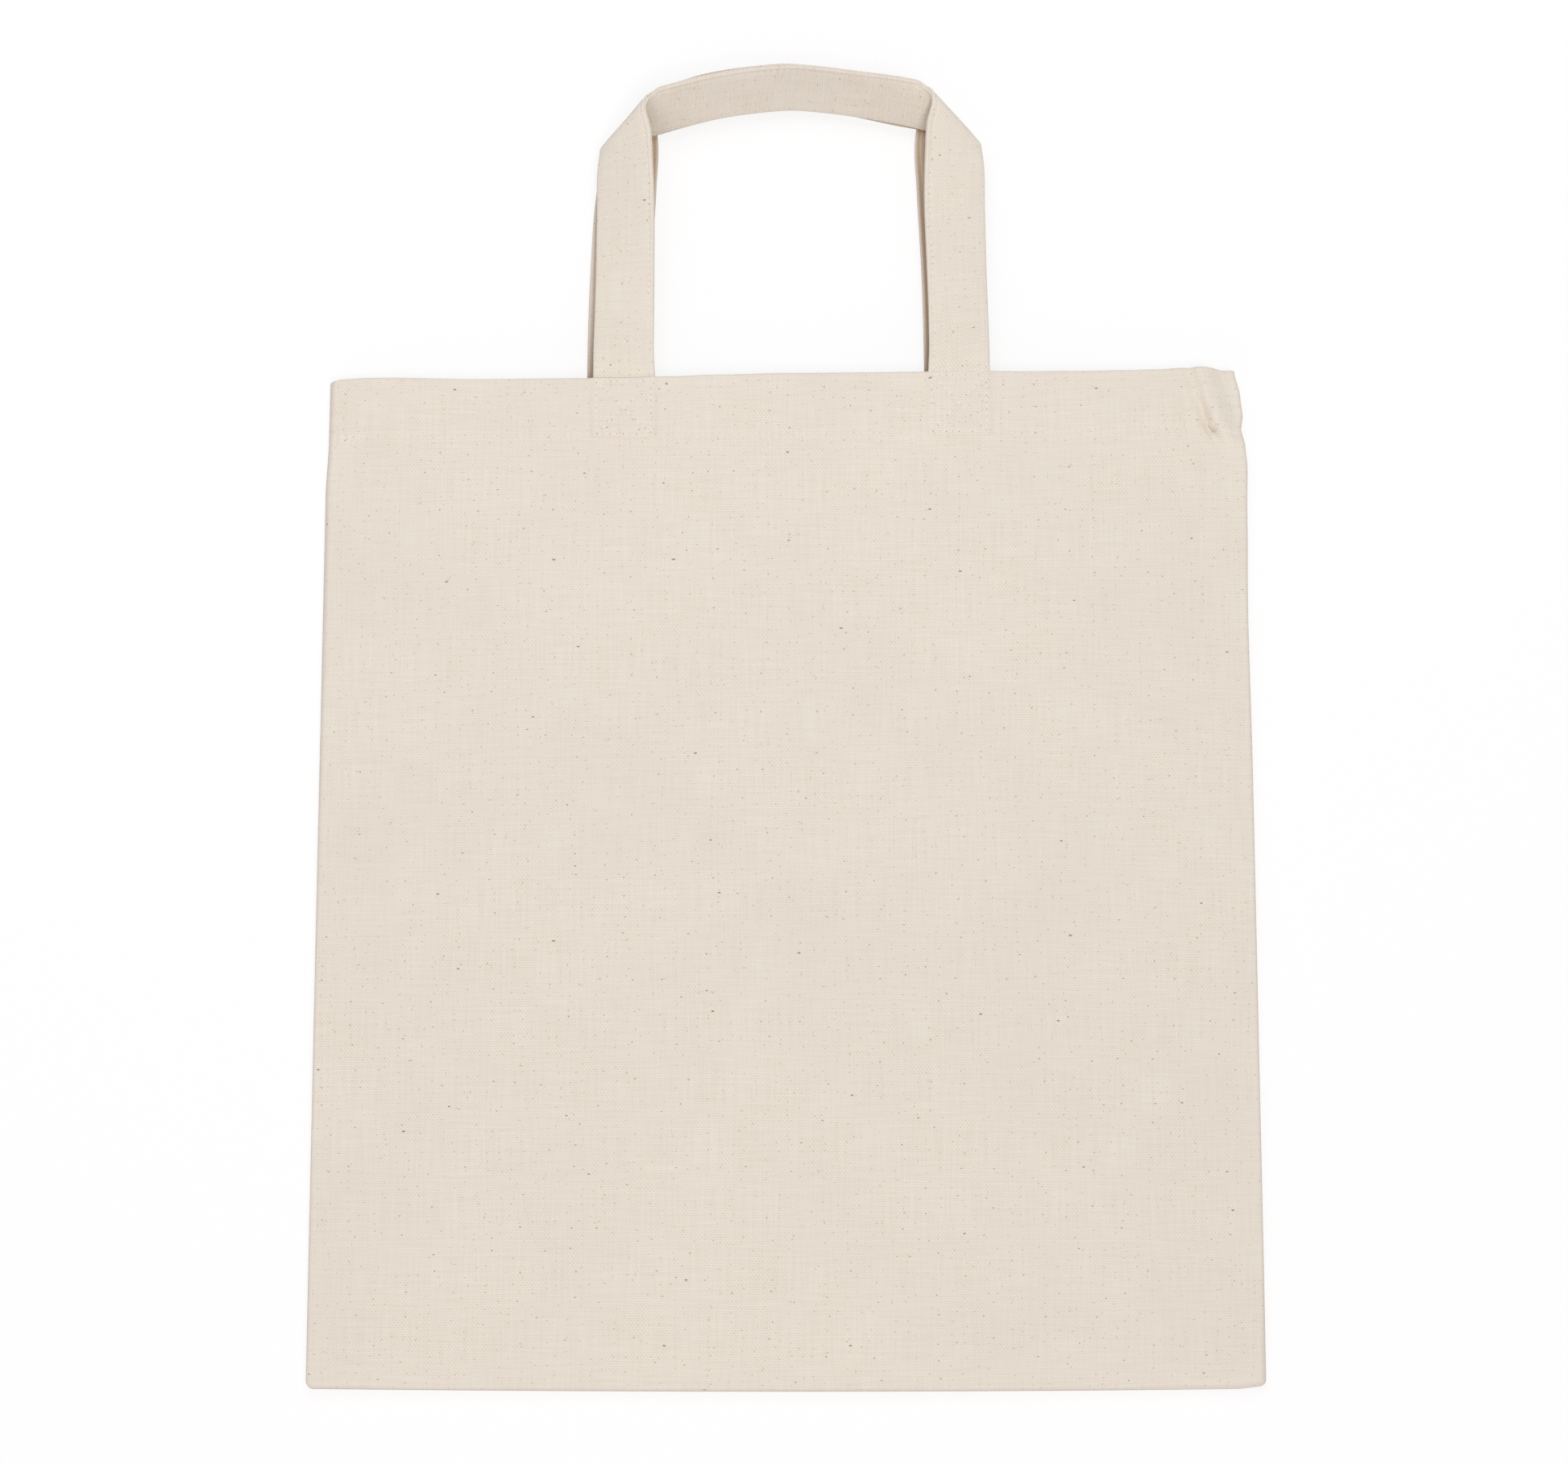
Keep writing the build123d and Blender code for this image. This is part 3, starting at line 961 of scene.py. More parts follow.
@dataclass
class Thread:
    """Sewing thread: how one stitch of it looks and how rows of it are laid.

    A stitch stands proud of the cloth by an amount, and the mark of its needle hole, a low dome in the
    painted shade of the hole, by the share hole_height of that. openings are the sizes of the marks, as
    shares of the full one, and shuffle is the step and the cycle that mix them along a row.
    """

    material: Material
    length: float = 2.3
    pitch: float = 2.75
    width: float = 0.42
    hole: float = 0.52
    hole_height: float = 0.8
    proud: float = 0.13
    openings: Triple = (1.0, 0.65, 0.3)
    shuffle: Tuple[int, int] = (7, 11)
    round_sides: int = 6
    round_rings: int = 4

    def stitch(self, opened: float) -> bpy.types.Mesh:
        """One stitch along X, in millimetres, with the needle hole at its start.

        Args:
            opened: Share of its full size that the needle hole has stayed open.

        Returns:
            The mesh of the stitch.
        """
        one = bmesh.new()
        layer = one.loops.layers.uv.new(CLOTH_UV)
        start = Matrix.Translation((-self.pitch / 2, 0, 0))
        sunk = Matrix.Translation((0, 0, self.proud - self.width / 2))
        lay_down = Matrix.Rotation(math.pi / 2, 4, "Y")
        run = sunk @ Matrix.Diagonal((self.length / 2, self.width / 2, self.width / 2, 1)) @ lay_down
        hole = self.hole / 2 * opened
        hole_shade_dome = start @ Matrix.Diagonal((hole, hole, self.proud * self.hole_height, 1))
        rounds = {"u_segments": self.round_sides, "v_segments": self.round_rings, "radius": 1.0}
        bmesh.ops.create_uvsphere(one, matrix=hole_shade_dome, **rounds)
        # The hole's dome takes the UV of a stitch end, so it is all in the painted shade of the hole.
        for face in one.faces:
            for loop in face.loops:
                loop[layer].uv = (0.0, 0.0)
        bmesh.ops.create_uvsphere(one, matrix=run, calc_uvs=True, **rounds)
        for face in one.faces:
            face.smooth = True
        shape = bpy.data.meshes.new("stitch")
        one.to_mesh(shape)
        one.free()
        return shape

    def sew(self, name: str, places: Sequence[Matrix]) -> Piece:
        """Lay one stitch at each place, with needle holes that vary in an uneven order.

        Args:
            name: Name of the piece.
            places: Turn and place of each stitch, in millimetres.

        Returns:
            The piece with all the stitches.
        """
        row = bmesh.new()
        shapes = [self.stitch(opened) for opened in self.openings]
        step, cycle = self.shuffle
        for index, place in enumerate(places):
            shape = shapes[index * step % cycle % len(shapes)]
            spot = Matrix.Scale(MM, 4) @ place
            shape.transform(spot)
            row.from_mesh(shape)
            shape.transform(spot.inverted())
        for shape in shapes:
            bpy.data.meshes.remove(shape)
        piece = finish_mesh(row, name, self.material)
        return piece

    def run(self, start: Pair, end: Pair, trim: float = 0.0) -> List[Tuple[float, float, Vector]]:
        """Evenly spaced stitches along a straight line.

        Args:
            start: First end of the line.
            end: Other end of the line.
            trim: Length left bare at both ends.

        Returns:
            x, y and heading of each stitch.
        """
        line = Vector((end[0] - start[0], end[1] - start[1]))
        heading = line.normalized()
        length = line.length - 2 * trim
        count = max(1, round(length / self.pitch))
        reaches = [trim + length * (index + 0.5) / count for index in range(count)]
        return [(start[0] + heading.x * reach, start[1] + heading.y * reach, heading) for reach in reaches]

    def box(self, box: SewnBox, corner: float = 0.6) -> List[Tuple[float, float, Vector]]:
        """Stitches of a box and its cross, clear of each other at the corners."""
        return [spot for start, end in box.lines() for spot in self.run(start, end, trim=corner)]


@dataclass
class FrontPanel:
    """Front panel with its turned hem, made as two halves that meet on the middle line.

    open_from and open_to, places across near the side seam and towards the middle, are not used. The
    tack is the few short rows of thread, one over the other, that start the hem's row at the left seam.
    """

    form: BagForm
    canvas: Material
    thread: Thread
    fine_thread: Thread
    open_from: float = 186.0
    open_to: float = 92.0
    coarse: float = 2.6
    fine: float = 0.6
    fine_margin: float = 2.25
    fine_below: float = 8.0
    corner_from: float = 160.0
    corner_grid: float = 1.0
    roll_grid: float = 0.5
    row_end: float = 2.0
    strap_clear: float = 0.6
    tack_rows: int = 5
    tack_pitch: float = 0.6
    tack_low: float = -1.4
    tack_length: float = 9.0
    tack_shift: float = 1.0

    def columns(self) -> List[float]:
        """Grid lines from the middle out, closer over the strap ends, the pucker and the rolled edge.

        Returns:
            The flat places across one half.
        """
        form = self.form
        reach = form.strap_width / 2 + self.fine_margin
        near, far = [abs(leg) for leg in form.legs]
        return spread([
            (0.0, near - reach, self.coarse),
            (near - reach, far + reach, self.fine),
            (far + reach, self.corner_from, self.coarse),
            (self.corner_from, form.flat_x, self.corner_grid),
            (form.flat_x, form.flat_x + form.roll_length, self.roll_grid),
        ])

    def rows(self) -> List[float]:
        """Grid lines from the bottom seam up, over the mouth and down inside.

        Returns:
            The flat places along the panel.
        """
        form = self.form
        fine_from = form.hem_line - self.fine_below
        return spread([
            (form.flat_y - form.roll_length, form.flat_y, self.roll_grid),
            (form.flat_y, fine_from, self.coarse),
            (fine_from, form.lip_y, self.fine),
            *form.hem_stretches(),
        ])

    def follow_mouth(self, piece: Piece) -> None:
        """Bake a piece's place into its mesh.

        Args:
            piece: Piece on one half of the panel.
        """
        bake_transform(piece)

    def half(self, side: Side) -> None:
        """Build one half of the panel with its hem.

        Args:
            side: Which half.
        """
        rows = self.rows()
        columns = self.columns()

        def place(column: float, row: float) -> Vector:
            """Place in space of a flat place on this half."""
            return self.form.front_point(side.value * column, row)

        cloth = cloth_grid(columns, rows, place)
        layer = cloth.loops.layers.uv[CLOTH_UV]
        for face in cloth.faces:
            for loop in face.loops:
                loop[layer].uv.x *= side.value
        if side is Side.LEFT:
            bmesh.ops.reverse_faces(cloth, faces=cloth.faces[:])
        # The middle line stays sharp, so that both halves shade as one cloth.
        for edge in cloth.edges:
            edge.smooth = any(abs(vert.co.x) > 0 for vert in edge.verts)
        piece = finish_mesh(cloth, f"front_panel_{side.name.lower()}", self.canvas)
        thicken(piece, self.form.cloth, offset=-1)
        self.follow_mouth(piece)
        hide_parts("front_panel", "front_hem")

    def hem_stitching(self, side: Side) -> None:
        """Build one half of the hem's row of stitching, with the tack at the left seam.

        Args:
            side: Which half.
        """
        form = self.form
        thread = self.fine_thread
        y = form.hem_line
        end = form.flat_x - self.row_end
        places = []
        for x, _, heading in thread.run((0.0, y), (side.value * end, y)):
            if min(abs(x - leg) for leg in form.legs) > form.strap_width / 2 + self.strap_clear:
                places.append(form.front_frame(x, y, heading))
        if side is Side.LEFT:
            for row in range(self.tack_rows):
                tack_y = y + self.tack_low + self.tack_pitch * row
                tack_x = self.tack_shift * (row % 2 - 1) - end
                for x, _, heading in thread.run((tack_x, tack_y), (tack_x + self.tack_length, tack_y)):
                    places.append(form.front_frame(x, tack_y, heading))
        piece = thread.sew(f"front_hem_stitching_{side.name.lower()}", places)
        self.follow_mouth(piece)
        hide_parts("front_hem_stitching")

    def box_stitching(self, side: Side) -> None:
        """Build the box and cross of stitching over one strap end.

        Args:
            side: Which strap end.
        """
        box = self.form.boxes[0 if side is Side.LEFT else 1]
        places = [self.form.front_frame(*spot) for spot in self.thread.box(box)]
        piece = self.thread.sew(f"front_box_stitching_{side.name.lower()}", places)
        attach(piece, Body.FRONT.value)
        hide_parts(f"front_{side.name.lower()}_box_stitching")

    def build(self) -> None:
        """Build both halves and all the stitching that shows on the front."""
        for side in Side:
            self.half(side)
            self.hem_stitching(side)
            self.box_stitching(side)


@dataclass
class BackPanel:
    """Back panel with its turned hem, its stitching and the seam allowances that lie on it."""

    form: BagForm
    canvas: Material
    thread: Thread
    legs: Pair = (-70.0, 70.0)
    strap_thickness: float = 2.0
    box_drop: float = 1.95
    row_end: float = 4.0
    strap_clear: float = 1.0
    coarse: float = 3.4
    roll_grid: float = 0.7
    allowance: float = 10.0
    allowance_inset: float = 4.0
    allowance_end: float = 1.0
    allowance_thickness: float = 1.0
    allowance_lift: float = 0.55
    allowance_grid: Pair = (1.25, 3.0)
    overcast_inset: float = 2.6
    overcast_lift: float = 1.25
    overcast_slant: float = 0.9

    def panel(self) -> None:
        """Build the panel, from the bottom seam up, over the mouth and down inside."""
        form = self.form
        rim = form.flat_x + form.roll_length
        columns = spread([
            (-rim, -form.flat_x, self.roll_grid),
            (-form.flat_x, form.flat_x, self.coarse),
            (form.flat_x, rim, self.roll_grid),
        ])
        rows = spread([
            (form.flat_y - form.roll_length, form.flat_y, self.roll_grid),
            (form.flat_y, form.lip_y, self.coarse),
            *form.hem_stretches(),
        ])
        cloth = cloth_grid(columns, rows, form.back_point)
        bmesh.ops.reverse_faces(cloth, faces=cloth.faces[:])
        piece = finish_mesh(cloth, "back_panel_cloth", self.canvas)
        thicken(piece, form.cloth, offset=-1)
        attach(piece, Body.BAG.value)
        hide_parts("back_panel", "back_hem")

    def inside_frame(self, x: float, y: float, z: float, heading: Vector) -> Matrix:
        """Turn and place of a stitch on an inner face that lies level at one height."""
        return stitch_frame(Vector((*self.form.fitted(x, y), z)), heading.to_3d(), UP)

    def sewn(self, name: str, node: str, places: Sequence[Matrix]) -> None:
        """Sew stitches that stay with the bag and stand for one node.

        Args:
            name: Name of the piece.
            node: Node that it replaces.
            places: Turn and place of each stitch, in millimetres.
        """
        row = self.thread.sew(name, places)
        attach(row, Body.BAG.value)
        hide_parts(node)

    def stitching(self) -> None:
        """Build the hem row and the two boxes inside the mouth."""
        form = self.form
        half = form.strap_width / 2
        hem_face = 2 * form.cloth
        end = form.flat_x - self.row_end
        places = []
        for x, y, heading in self.thread.run((-end, form.hem_line), (end, form.hem_line)):
            if min(abs(x - leg) for leg in self.legs) > half + self.strap_clear:
                places.append(self.inside_frame(x, y, hem_face, heading))
        self.sewn("back_hem_stitches", "back_hem_stitching", places)
        strap_face = hem_face + self.strap_thickness
        for side, leg in zip(Side, self.legs):
            box = SewnBox(leg, form.hem_line, form.mouth - self.box_drop, half - form.box_inset)
            spots = self.thread.box(box)
            places = [self.inside_frame(x, y, strap_face, heading) for x, y, heading in spots]
            end_name = side.name.lower()
            self.sewn(f"back_box_stitches_{end_name}", f"back_{end_name}_box_stitching", places)

    def seam(self, node: str, stitch_node: str, start: Pair, end: Pair) -> None:
        """Build one seam allowance, two raw edges sewn together, and its overcast stitches.

        Args:
            node: Name of the allowance's node.
            stitch_node: Name of its stitching's node.
            start: One end of its middle line.
            end: Other end of its middle line.
        """
        line = Vector((end[0] - start[0], end[1] - start[1]))
        heading = line.normalized()
        beside = Vector((-heading.y, heading.x))
        origin = Vector(start)
        half = self.allowance / 2
        sway = Wave(23.0, 9.0, start[0], 0.35)
        rise = Wave(31.0, 1.0, 3.0, 0.3)

        def place(across: float, along: float) -> Vector:
            """Place in space of a flat place on the allowance, which lies a little wavy.

            Args:
                across: Place across the allowance, from its middle line.
                along: Place along it, from its start.

            Returns:
                The place in space.
            """
            flat = origin + heading * along + beside * (across + sway.at(along, across))
            lift = self.allowance_lift + max(0.0, rise.at(along, start[1]))
            return Vector((flat.x, flat.y, self.form.cloth + lift))

        columns = spread([(-half, half, self.allowance_grid[0])])
        rows = spread([(0.0, line.length, self.allowance_grid[1])])
        cloth = cloth_grid(columns, rows, place)
        piece = finish_mesh(cloth, f"{node}_allowance", self.canvas)
        thicken(piece, self.allowance_thickness, offset=0)
        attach(piece, Body.BAG.value)
        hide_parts(node)
        places = []
        top = self.form.cloth + self.overcast_lift
        for index, (x, y, _) in enumerate(self.thread.run(start, end)):
            slant = heading + beside * (self.overcast_slant if index % 2 else -self.overcast_slant)
            at = Vector((x, y)) + beside * (self.overcast_inset - half)
            places.append(stitch_frame(Vector((at.x, at.y, top)), slant.to_3d(), UP))
        self.sewn(f"{stitch_node}_thread", stitch_node, places)

    def build(self) -> None:
        """Build the panel, its stitching and the three seam allowances."""
        self.panel()
        self.stitching()
        form = self.form
        in_x = form.half_width - self.allowance_inset - self.allowance / 2
        in_y = form.bottom + self.allowance_inset + self.allowance / 2
        low = in_y + self.allowance / 2 + self.allowance_end
        high = form.mouth - form.hem - self.allowance_end
        self.seam("left_side_seam", "left_seam_stitching", (-in_x, high), (-in_x, low))
        self.seam("right_side_seam", "right_seam_stitching", (in_x, low), (in_x, high))
        self.seam("bottom_seam", "bottom_seam_stitching", (-in_x, in_y), (in_x, in_y))


@dataclass
class StrapRoute:
    """Where a strap runs, as rulings from its outer edge to its inner edge, left half only.

    x is measured from the leg's middle line for the leg and the fold, and from the handle's middle
    for the crown. y starts at the mouth: sewn below it the strap ends, tucked below it the strap
    starts to rise, and foot above it the strap has come over the edge. The fold is the slanting line
    that the corner rolls about, with the direction in which the strap faces before and after it.
    right_inner and right_outer move the right corner, which folds a little flatter and higher than
    the left one, and the moves fade in over corner_y and corner_x.
    """

    spacing: float
    shift: float
    end_z: float
    foot_z: float
    leg: Sequence[Tuple[Triple, Triple]]
    fold: Tuple[Triple, Triple, Triple, Triple]
    crown: Sequence[Tuple[Triple, Triple]]
    right_inner: Triple = (0.0, 0.0, 0.0)
    right_outer: Triple = (0.0, 0.0, 0.0)
    corner_y: Pair = (15.0, 95.0)
    corner_x: Pair = (26.0, 58.0)
    width: float = STRAP_WIDTH
    sewn: float = 24.8
    tucked: float = 6.0
    foot: float = 0.8
    fold_radius: float = 2.3
    corner_radius: float = 1.1
    fold_slant: float = 0.8

    def half(self) -> List[Ruling]:
        """Rulings from the sewn end, inside the mouth, to the middle of the crown.

        Returns:
            The outer and inner end of each ruling, measured from the handle's middle and the mouth.
        """
        centre = Vector((-self.spacing / 2, 0, 0))
        side = Vector((self.width / 2, 0, 0))
        inside = Vector((0, -self.sewn, self.end_z))
        under = Vector((0, -self.tucked, self.end_z))
        foot = Vector((0, self.foot, self.foot_z))
        rulings = [(centre + spot - side, centre + spot + side) for spot in (inside, under, foot)]
        rulings += [(centre + Vector(b), centre + Vector(a)) for b, a in self.leg]
        axis_b, axis_a, leg_face, crown_face = [Vector(part) for part in self.fold]
        first, last = leg_face.normalized(), crown_face.normalized()
        middle = (first + last).normalized()
        faces = (first, (first + middle).normalized(), middle, (middle + last).normalized(), last)
        along = (axis_a - axis_b).normalized()
        for turn, face in zip((-1.0, -0.5, 0.0, 0.5, 1.0), faces):
            step = face + along * (turn * self.fold_slant)
            outer, inner = axis_b + step * self.corner_radius, axis_a + step * self.fold_radius
            rulings.append((centre + outer, centre + inner))
        rulings += [(Vector(b), Vector(a)) for b, a in self.crown]
        return rulings

    def eased(self, point: Vector, move: Triple) -> Vector:
        """A point of the right half, moved towards the right corner's own place."""
        return point + Vector(move) * (ease(*self.corner_y, point.y) * ease(*self.corner_x, point.x))

    def whole(self, mouth: float) -> List[Ruling]:
        """Rulings of both halves, in the frame of the bag.

        Args:
            mouth: y of the mouth.

        Returns:
            The rulings from the left sewn end to the right one.
        """
        left = self.half()
        right = []
        for b, a in reversed(left[:-1]):
            outer, inner = [Vector((-point.x, point.y, point.z)) for point in (b, a)]
            right.append((self.eased(outer, self.right_outer), self.eased(inner, self.right_inner)))
        move = Vector((self.shift, mouth, 0))
        return [(b + move, a + move) for b, a in left + right]


def smooth_route(keys: Sequence[Ruling], spacing: float) -> List[Ruling]:
    """Rulings along smooth curves through the key rulings, closer where the keys are close.

    Args:
        keys: Key rulings in order.
        spacing: Largest step between two rulings.

    Returns:
        The rulings of the smooth band.
    """
    steps = list(zip(keys, keys[1:]))
    chords = [[(after[edge] - before[edge]).length for before, after in steps] for edge in (0, 1)]

    def slope(index: int, edge: int) -> Vector:
        """Direction of one edge at a key, weighted to the nearer neighbour.

        Args:
            index: Which key.
            edge: 0 for the outer edge, 1 for the inner one.

        Returns:
            The direction, about one long.
        """
        runs = chords[edge]
        if index == 0 or index == len(runs):
            last = min(index, len(runs) - 1)
            return (keys[last + 1][edge] - keys[last][edge]) / runs[last]
        before = (keys[index][edge] - keys[index - 1][edge]) / runs[index - 1]
        after = (keys[index + 1][edge] - keys[index][edge]) / runs[index]
        return (before * runs[index] + after * runs[index - 1]) / (runs[index - 1] + runs[index])

    band = []
    for index in range(len(steps)):
        count = max(2, math.ceil(max(chords[0][index], chords[1][index]) / spacing))
        for part in range(count):
            t = part / count
            # Cubic weights of the step's two ends, and then of the slopes there.
            weights = (2 * t**3 - 3 * t**2 + 1, -2 * t**3 + 3 * t**2, t**3 - 2 * t**2 + t, t**3 - t**2)
            ruling = []
            for edge in (0, 1):
                run = chords[edge][index]
                first, last = keys[index][edge], keys[index + 1][edge]
                out, into = slope(index, edge) * run, slope(index + 1, edge) * run
                ruling.append(first * weights[0] + last * weights[1] + out * weights[2] + into * weights[3])
            band.append((ruling[0], ruling[1]))
    return band + [tuple(keys[-1])]


@dataclass(frozen=True)
class StrapProfile:
    """Cross-section of a strap folded to four layers: one folded edge, one open edge of two lips.

    The stitching lies stitch_inset from the open edge and stitch_level from the middle layer, in a
    drawn-in line that is stitch_bed deeper.
    """

    width: float = STRAP_WIDTH
    half_thickness: float = 1.0
    stitch_inset: float = 2.1
    stitch_level: float = 0.8
    stitch_bed: float = 0.06

    def ring(self) -> List[Pair]:
        """Points round the section.

        Returns:
            Distance from the folded edge and height over the middle layer of each point.
        """
        bed = self.stitch_level - self.stitch_bed
        folded = [(0.12, 0.45), (0.45, 0.82), (1.2, 0.98)]
        flat = [(across, 1.0) for across in (4.0, 7.5, 11.0, 14.5, 18.0, 20.6, 21.9)]
        sewn = [(0.9, 0.97), (0.5, 0.9), (0.0, bed), (-0.5, 0.9), (-1.0, 1.02)]
        lip = [(0.6, 0.98), (0.2, 0.8), (0.0, 0.52), (0.14, 0.22), (0.75, 0.05)]
        row = self.width - self.stitch_inset
        face = folded + flat + [(row - back, high) for back, high in sewn]
        face += [(self.width - back, high) for back, high in lip]
        shown = [(across, high * self.half_thickness) for across, high in face]
        reverse = [(across, -high) for across, high in reversed(shown)]
        return [(0.0, 0.0)] + shown + reverse


@dataclass
class Strap:
    """Handle strap: canvas folded to four layers and topstitched along its open edge.

    bend_reach and hinge are not used, and its rulings are at most one step apart. band holds the
    rulings, edges the running length of its outer and inner edge at each ruling, and reach the running
    length of its middle.
    """

    name: str
    route: StrapRoute
    mouth: float
    canvas: Material
    thread: Thread
    carrier: Body
    loop: Body
    hinge: Triple
    nodes: Tuple[str, ...]
    stitch_node: str
    profile: StrapProfile = StrapProfile()
    bend_reach: float = 3.2
    step: float = 1.8
    weld: float = 0.0001
    band: List[Ruling] = field(init=False)
    edges: List[Pair] = field(init=False)
    reach: List[float] = field(init=False)

    def __post_init__(self) -> None:
        """Work out the smooth band and its running lengths."""
        self.band = smooth_route(self.route.whole(self.mouth), self.step)
        self.edges = [(0.0, 0.0)]
        for (b0, a0), (b1, a1) in zip(self.band, self.band[1:]):
            outer, inner = self.edges[-1]
            self.edges.append((outer + (b1 - b0).length, inner + (a1 - a0).length))
        self.reach = [(outer + inner) / 2 for outer, inner in self.edges]

    def facing(self, index: int) -> Vector:
        """Direction that the strap's shown face looks in.

        Args:
            index: Which ruling.

        Returns:
            The direction, one long.
        """
        b, a = self.band[index]
        before = self.band[max(0, index - 1)]
        after = self.band[min(len(self.band) - 1, index + 1)]
        along = (after[0] + after[1]) - (before[0] + before[1])
        return (a - b).cross(along).normalized()

    def build_band(self) -> None:
        """Build the strap as one closed band, from one sewn end to the other."""
        ring = self.profile.ring()
        girth = [0.0]
        for before, after in zip(ring, ring[1:] + ring[:1]):
            girth.append(girth[-1] + math.dist(before, after))
        spots = dict(zip(girth, ring + ring[:1]))
        soft = Wave(16.0, 28.0, self.route.foot_z, 0.3)

        def place(around: float, index: int) -> Vector:
            """Place in space of a point round the section at one ruling.

            Args:
                around: Length round the section, from the folded edge.
                index: Which ruling.

            Returns:
                The place in space.
            """
            b, a = self.band[index]
            across, out = spots[around]
            lift = out + soft.at(across, self.reach[index])
            return b.lerp(a, across / self.route.width) + self.facing(index) * lift

        cloth = cloth_grid(girth, list(range(len(self.band))), place)
        layer = cloth.loops.layers.uv[CLOTH_UV]
        across = {round(around, 3): spot[0] / self.route.width for around, spot in spots.items()}
        for face in cloth.faces:
            for loop in face.loops:
                flat = loop[layer].uv / MM
                outer, inner = self.edges[round(flat.y)]
                loop[layer].uv.y = (outer + (inner - outer) * across[round(flat.x, 3)]) * MM
        bmesh.ops.remove_doubles(cloth, verts=cloth.verts[:], dist=self.weld * MM)
        bmesh.ops.holes_fill(cloth, edges=[edge for edge in cloth.edges if edge.is_boundary], sides=0)
        bmesh.ops.recalc_face_normals(cloth, faces=cloth.faces[:])
        piece = finish_mesh(cloth, self.name, self.canvas)
        self.follow_swing(piece)
        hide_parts(*self.nodes)

    def follow_swing(self, piece: Piece) -> None:
        """Bake a piece's place into its mesh.

        Args:
            piece: The band or its stitching.
        """
        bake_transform(piece)

    def build_stitching(self) -> None:
        """Build the topstitching near the open edge, which shows on both faces."""
        places = []
        goal = self.thread.pitch
        inset = self.profile.stitch_inset
        for index in range(1, len(self.band) - 1):
            if self.reach[index] < goal:
                continue
            back = (self.reach[index] - goal) / (self.reach[index] - self.reach[index - 1])
            goal += self.thread.pitch
            spots = [a + (b - a).normalized() * inset for b, a in self.band[index - 1 : index + 1]]
            spot = spots[1].lerp(spots[0], back)
            face = self.facing(index)
            for out in (face, -face):
                shown = spot + out * self.profile.stitch_level
                places.append(stitch_frame(shown, spots[1] - spots[0], out))
        piece = self.thread.sew(f"{self.name}_topstitching", places)
        self.follow_swing(piece)
        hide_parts(self.stitch_node)

    def build(self) -> None:
        """Build the band and its topstitching."""
        self.build_band()
        self.build_stitching()


# The front legs lean inward, fold over at the corners, and the crown stands on its outer edge.
FRONT_ROUTE = StrapRoute(
    spacing=138.0,
    shift=2.0,
    end_z=11.0,
    foot_z=12.1,
    leg=(
        ((-12.7, 4.0, 12.7), (12.6, 4.0, 12.9)),
        ((-12.7, 10.0, 12.4), (12.3, 10.0, 12.9)),
        ((-12.5, 25.0, 10.2), (12.2, 25.0, 12.0)),
        ((-12.1, 50.0, 8.0), (12.2, 48.6, 14.2)),
        ((-11.9, 75.4, 7.2), (12.1, 72.4, 16.8)),
        ((-11.7, 92.5, 6.9), (11.3, 93.0, 19.2)),
        ((-11.2, 96.8, 6.9), (10.5, 105.6, 22.0)),
    ),
    fold=((-9.6, 100.5, 6.2), (11.0, 116.6, 24.1), (-0.54, -0.2, 0.82), (-0.26, 0.95, -0.1)),
    crown=(
        ((-70.0, 105.4, 5.5), (-55.2, 121.6, 25.6)),
        ((-57.0, 108.4, 5.6), (-50.0, 123.1, 26.5)),
        ((-44.6, 112.2, 5.5), (-42.6, 125.1, 26.8)),
        ((-27.7, 116.6, 5.3), (-27.5, 128.5, 26.9)),
        ((-12.0, 118.9, 5.1), (-12.0, 130.6, 27.0)),
        ((0.0, 119.8, 5.0), (0.0, 131.4, 27.0)),
    ),
    right_inner=(-2.0, 4.3, -3.0),
    right_outer=(-0.4, 2.2, 0.0),
)

# The back legs lie on the ground and pass under the front crown, and the crown stands close behind it.
BACK_ROUTE = StrapRoute(
    spacing=139.4,
    shift=0.0,
    end_z=2.6,
    foot_z=2.9,
    leg=(
        ((-11.8, 50.0, 2.2), (13.6, 50.0, 2.4)),
        ((-9.4, 86.0, 1.7), (15.3, 86.0, 2.0)),
        ((-7.0, 99.6, 1.7), (15.9, 106.8, 2.5)),
        ((-6.0, 103.4, 1.7), (15.2, 113.0, 4.0)),
        ((-4.8, 105.8, 1.8), (14.4, 117.4, 7.6)),
    ),
    fold=((-2.4, 107.4, 2.2), (13.2, 120.2, 12.4), (0.12, -0.72, 0.68), (-0.26, 0.8, -0.54)),
    crown=(
        ((-63.0, 111.2, 1.7), (-54.0, 123.0, 15.2)),
        ((-44.0, 114.8, 1.7), (-42.0, 127.2, 20.4)),
        ((-26.0, 118.8, 1.7), (-25.4, 130.4, 23.0)),
        ((-12.0, 121.2, 1.7), (-11.8, 131.9, 23.7)),
        ((0.0, 122.2, 1.7), (0.0, 132.8, 23.8)),
    ),
)


@dataclass(frozen=True)
class Lamp:
    """One soft square lamp: its place and side length, its power in watts and where it faces."""

    name: str
    place: Triple
    size: float
    power: float
    tint: str
    aim: Triple = (0.0, 50.0, 0.0)

    def build(self) -> None:
        """Add the lamp, facing the bag."""
        data = bpy.data.lights.new(self.name, "AREA")
        data.size = self.size * MM
        data.energy = self.power
        data.color = linear(self.tint)[:3]
        lamp = bpy.data.objects.new(self.name, data)
        lamp.location = Vector(self.place) * MM
        beam = Vector(self.aim) - Vector(self.place)
        lamp.rotation_euler = beam.to_track_quat("-Z", "Y").to_euler()
        bpy.context.scene.collection.objects.link(lamp)


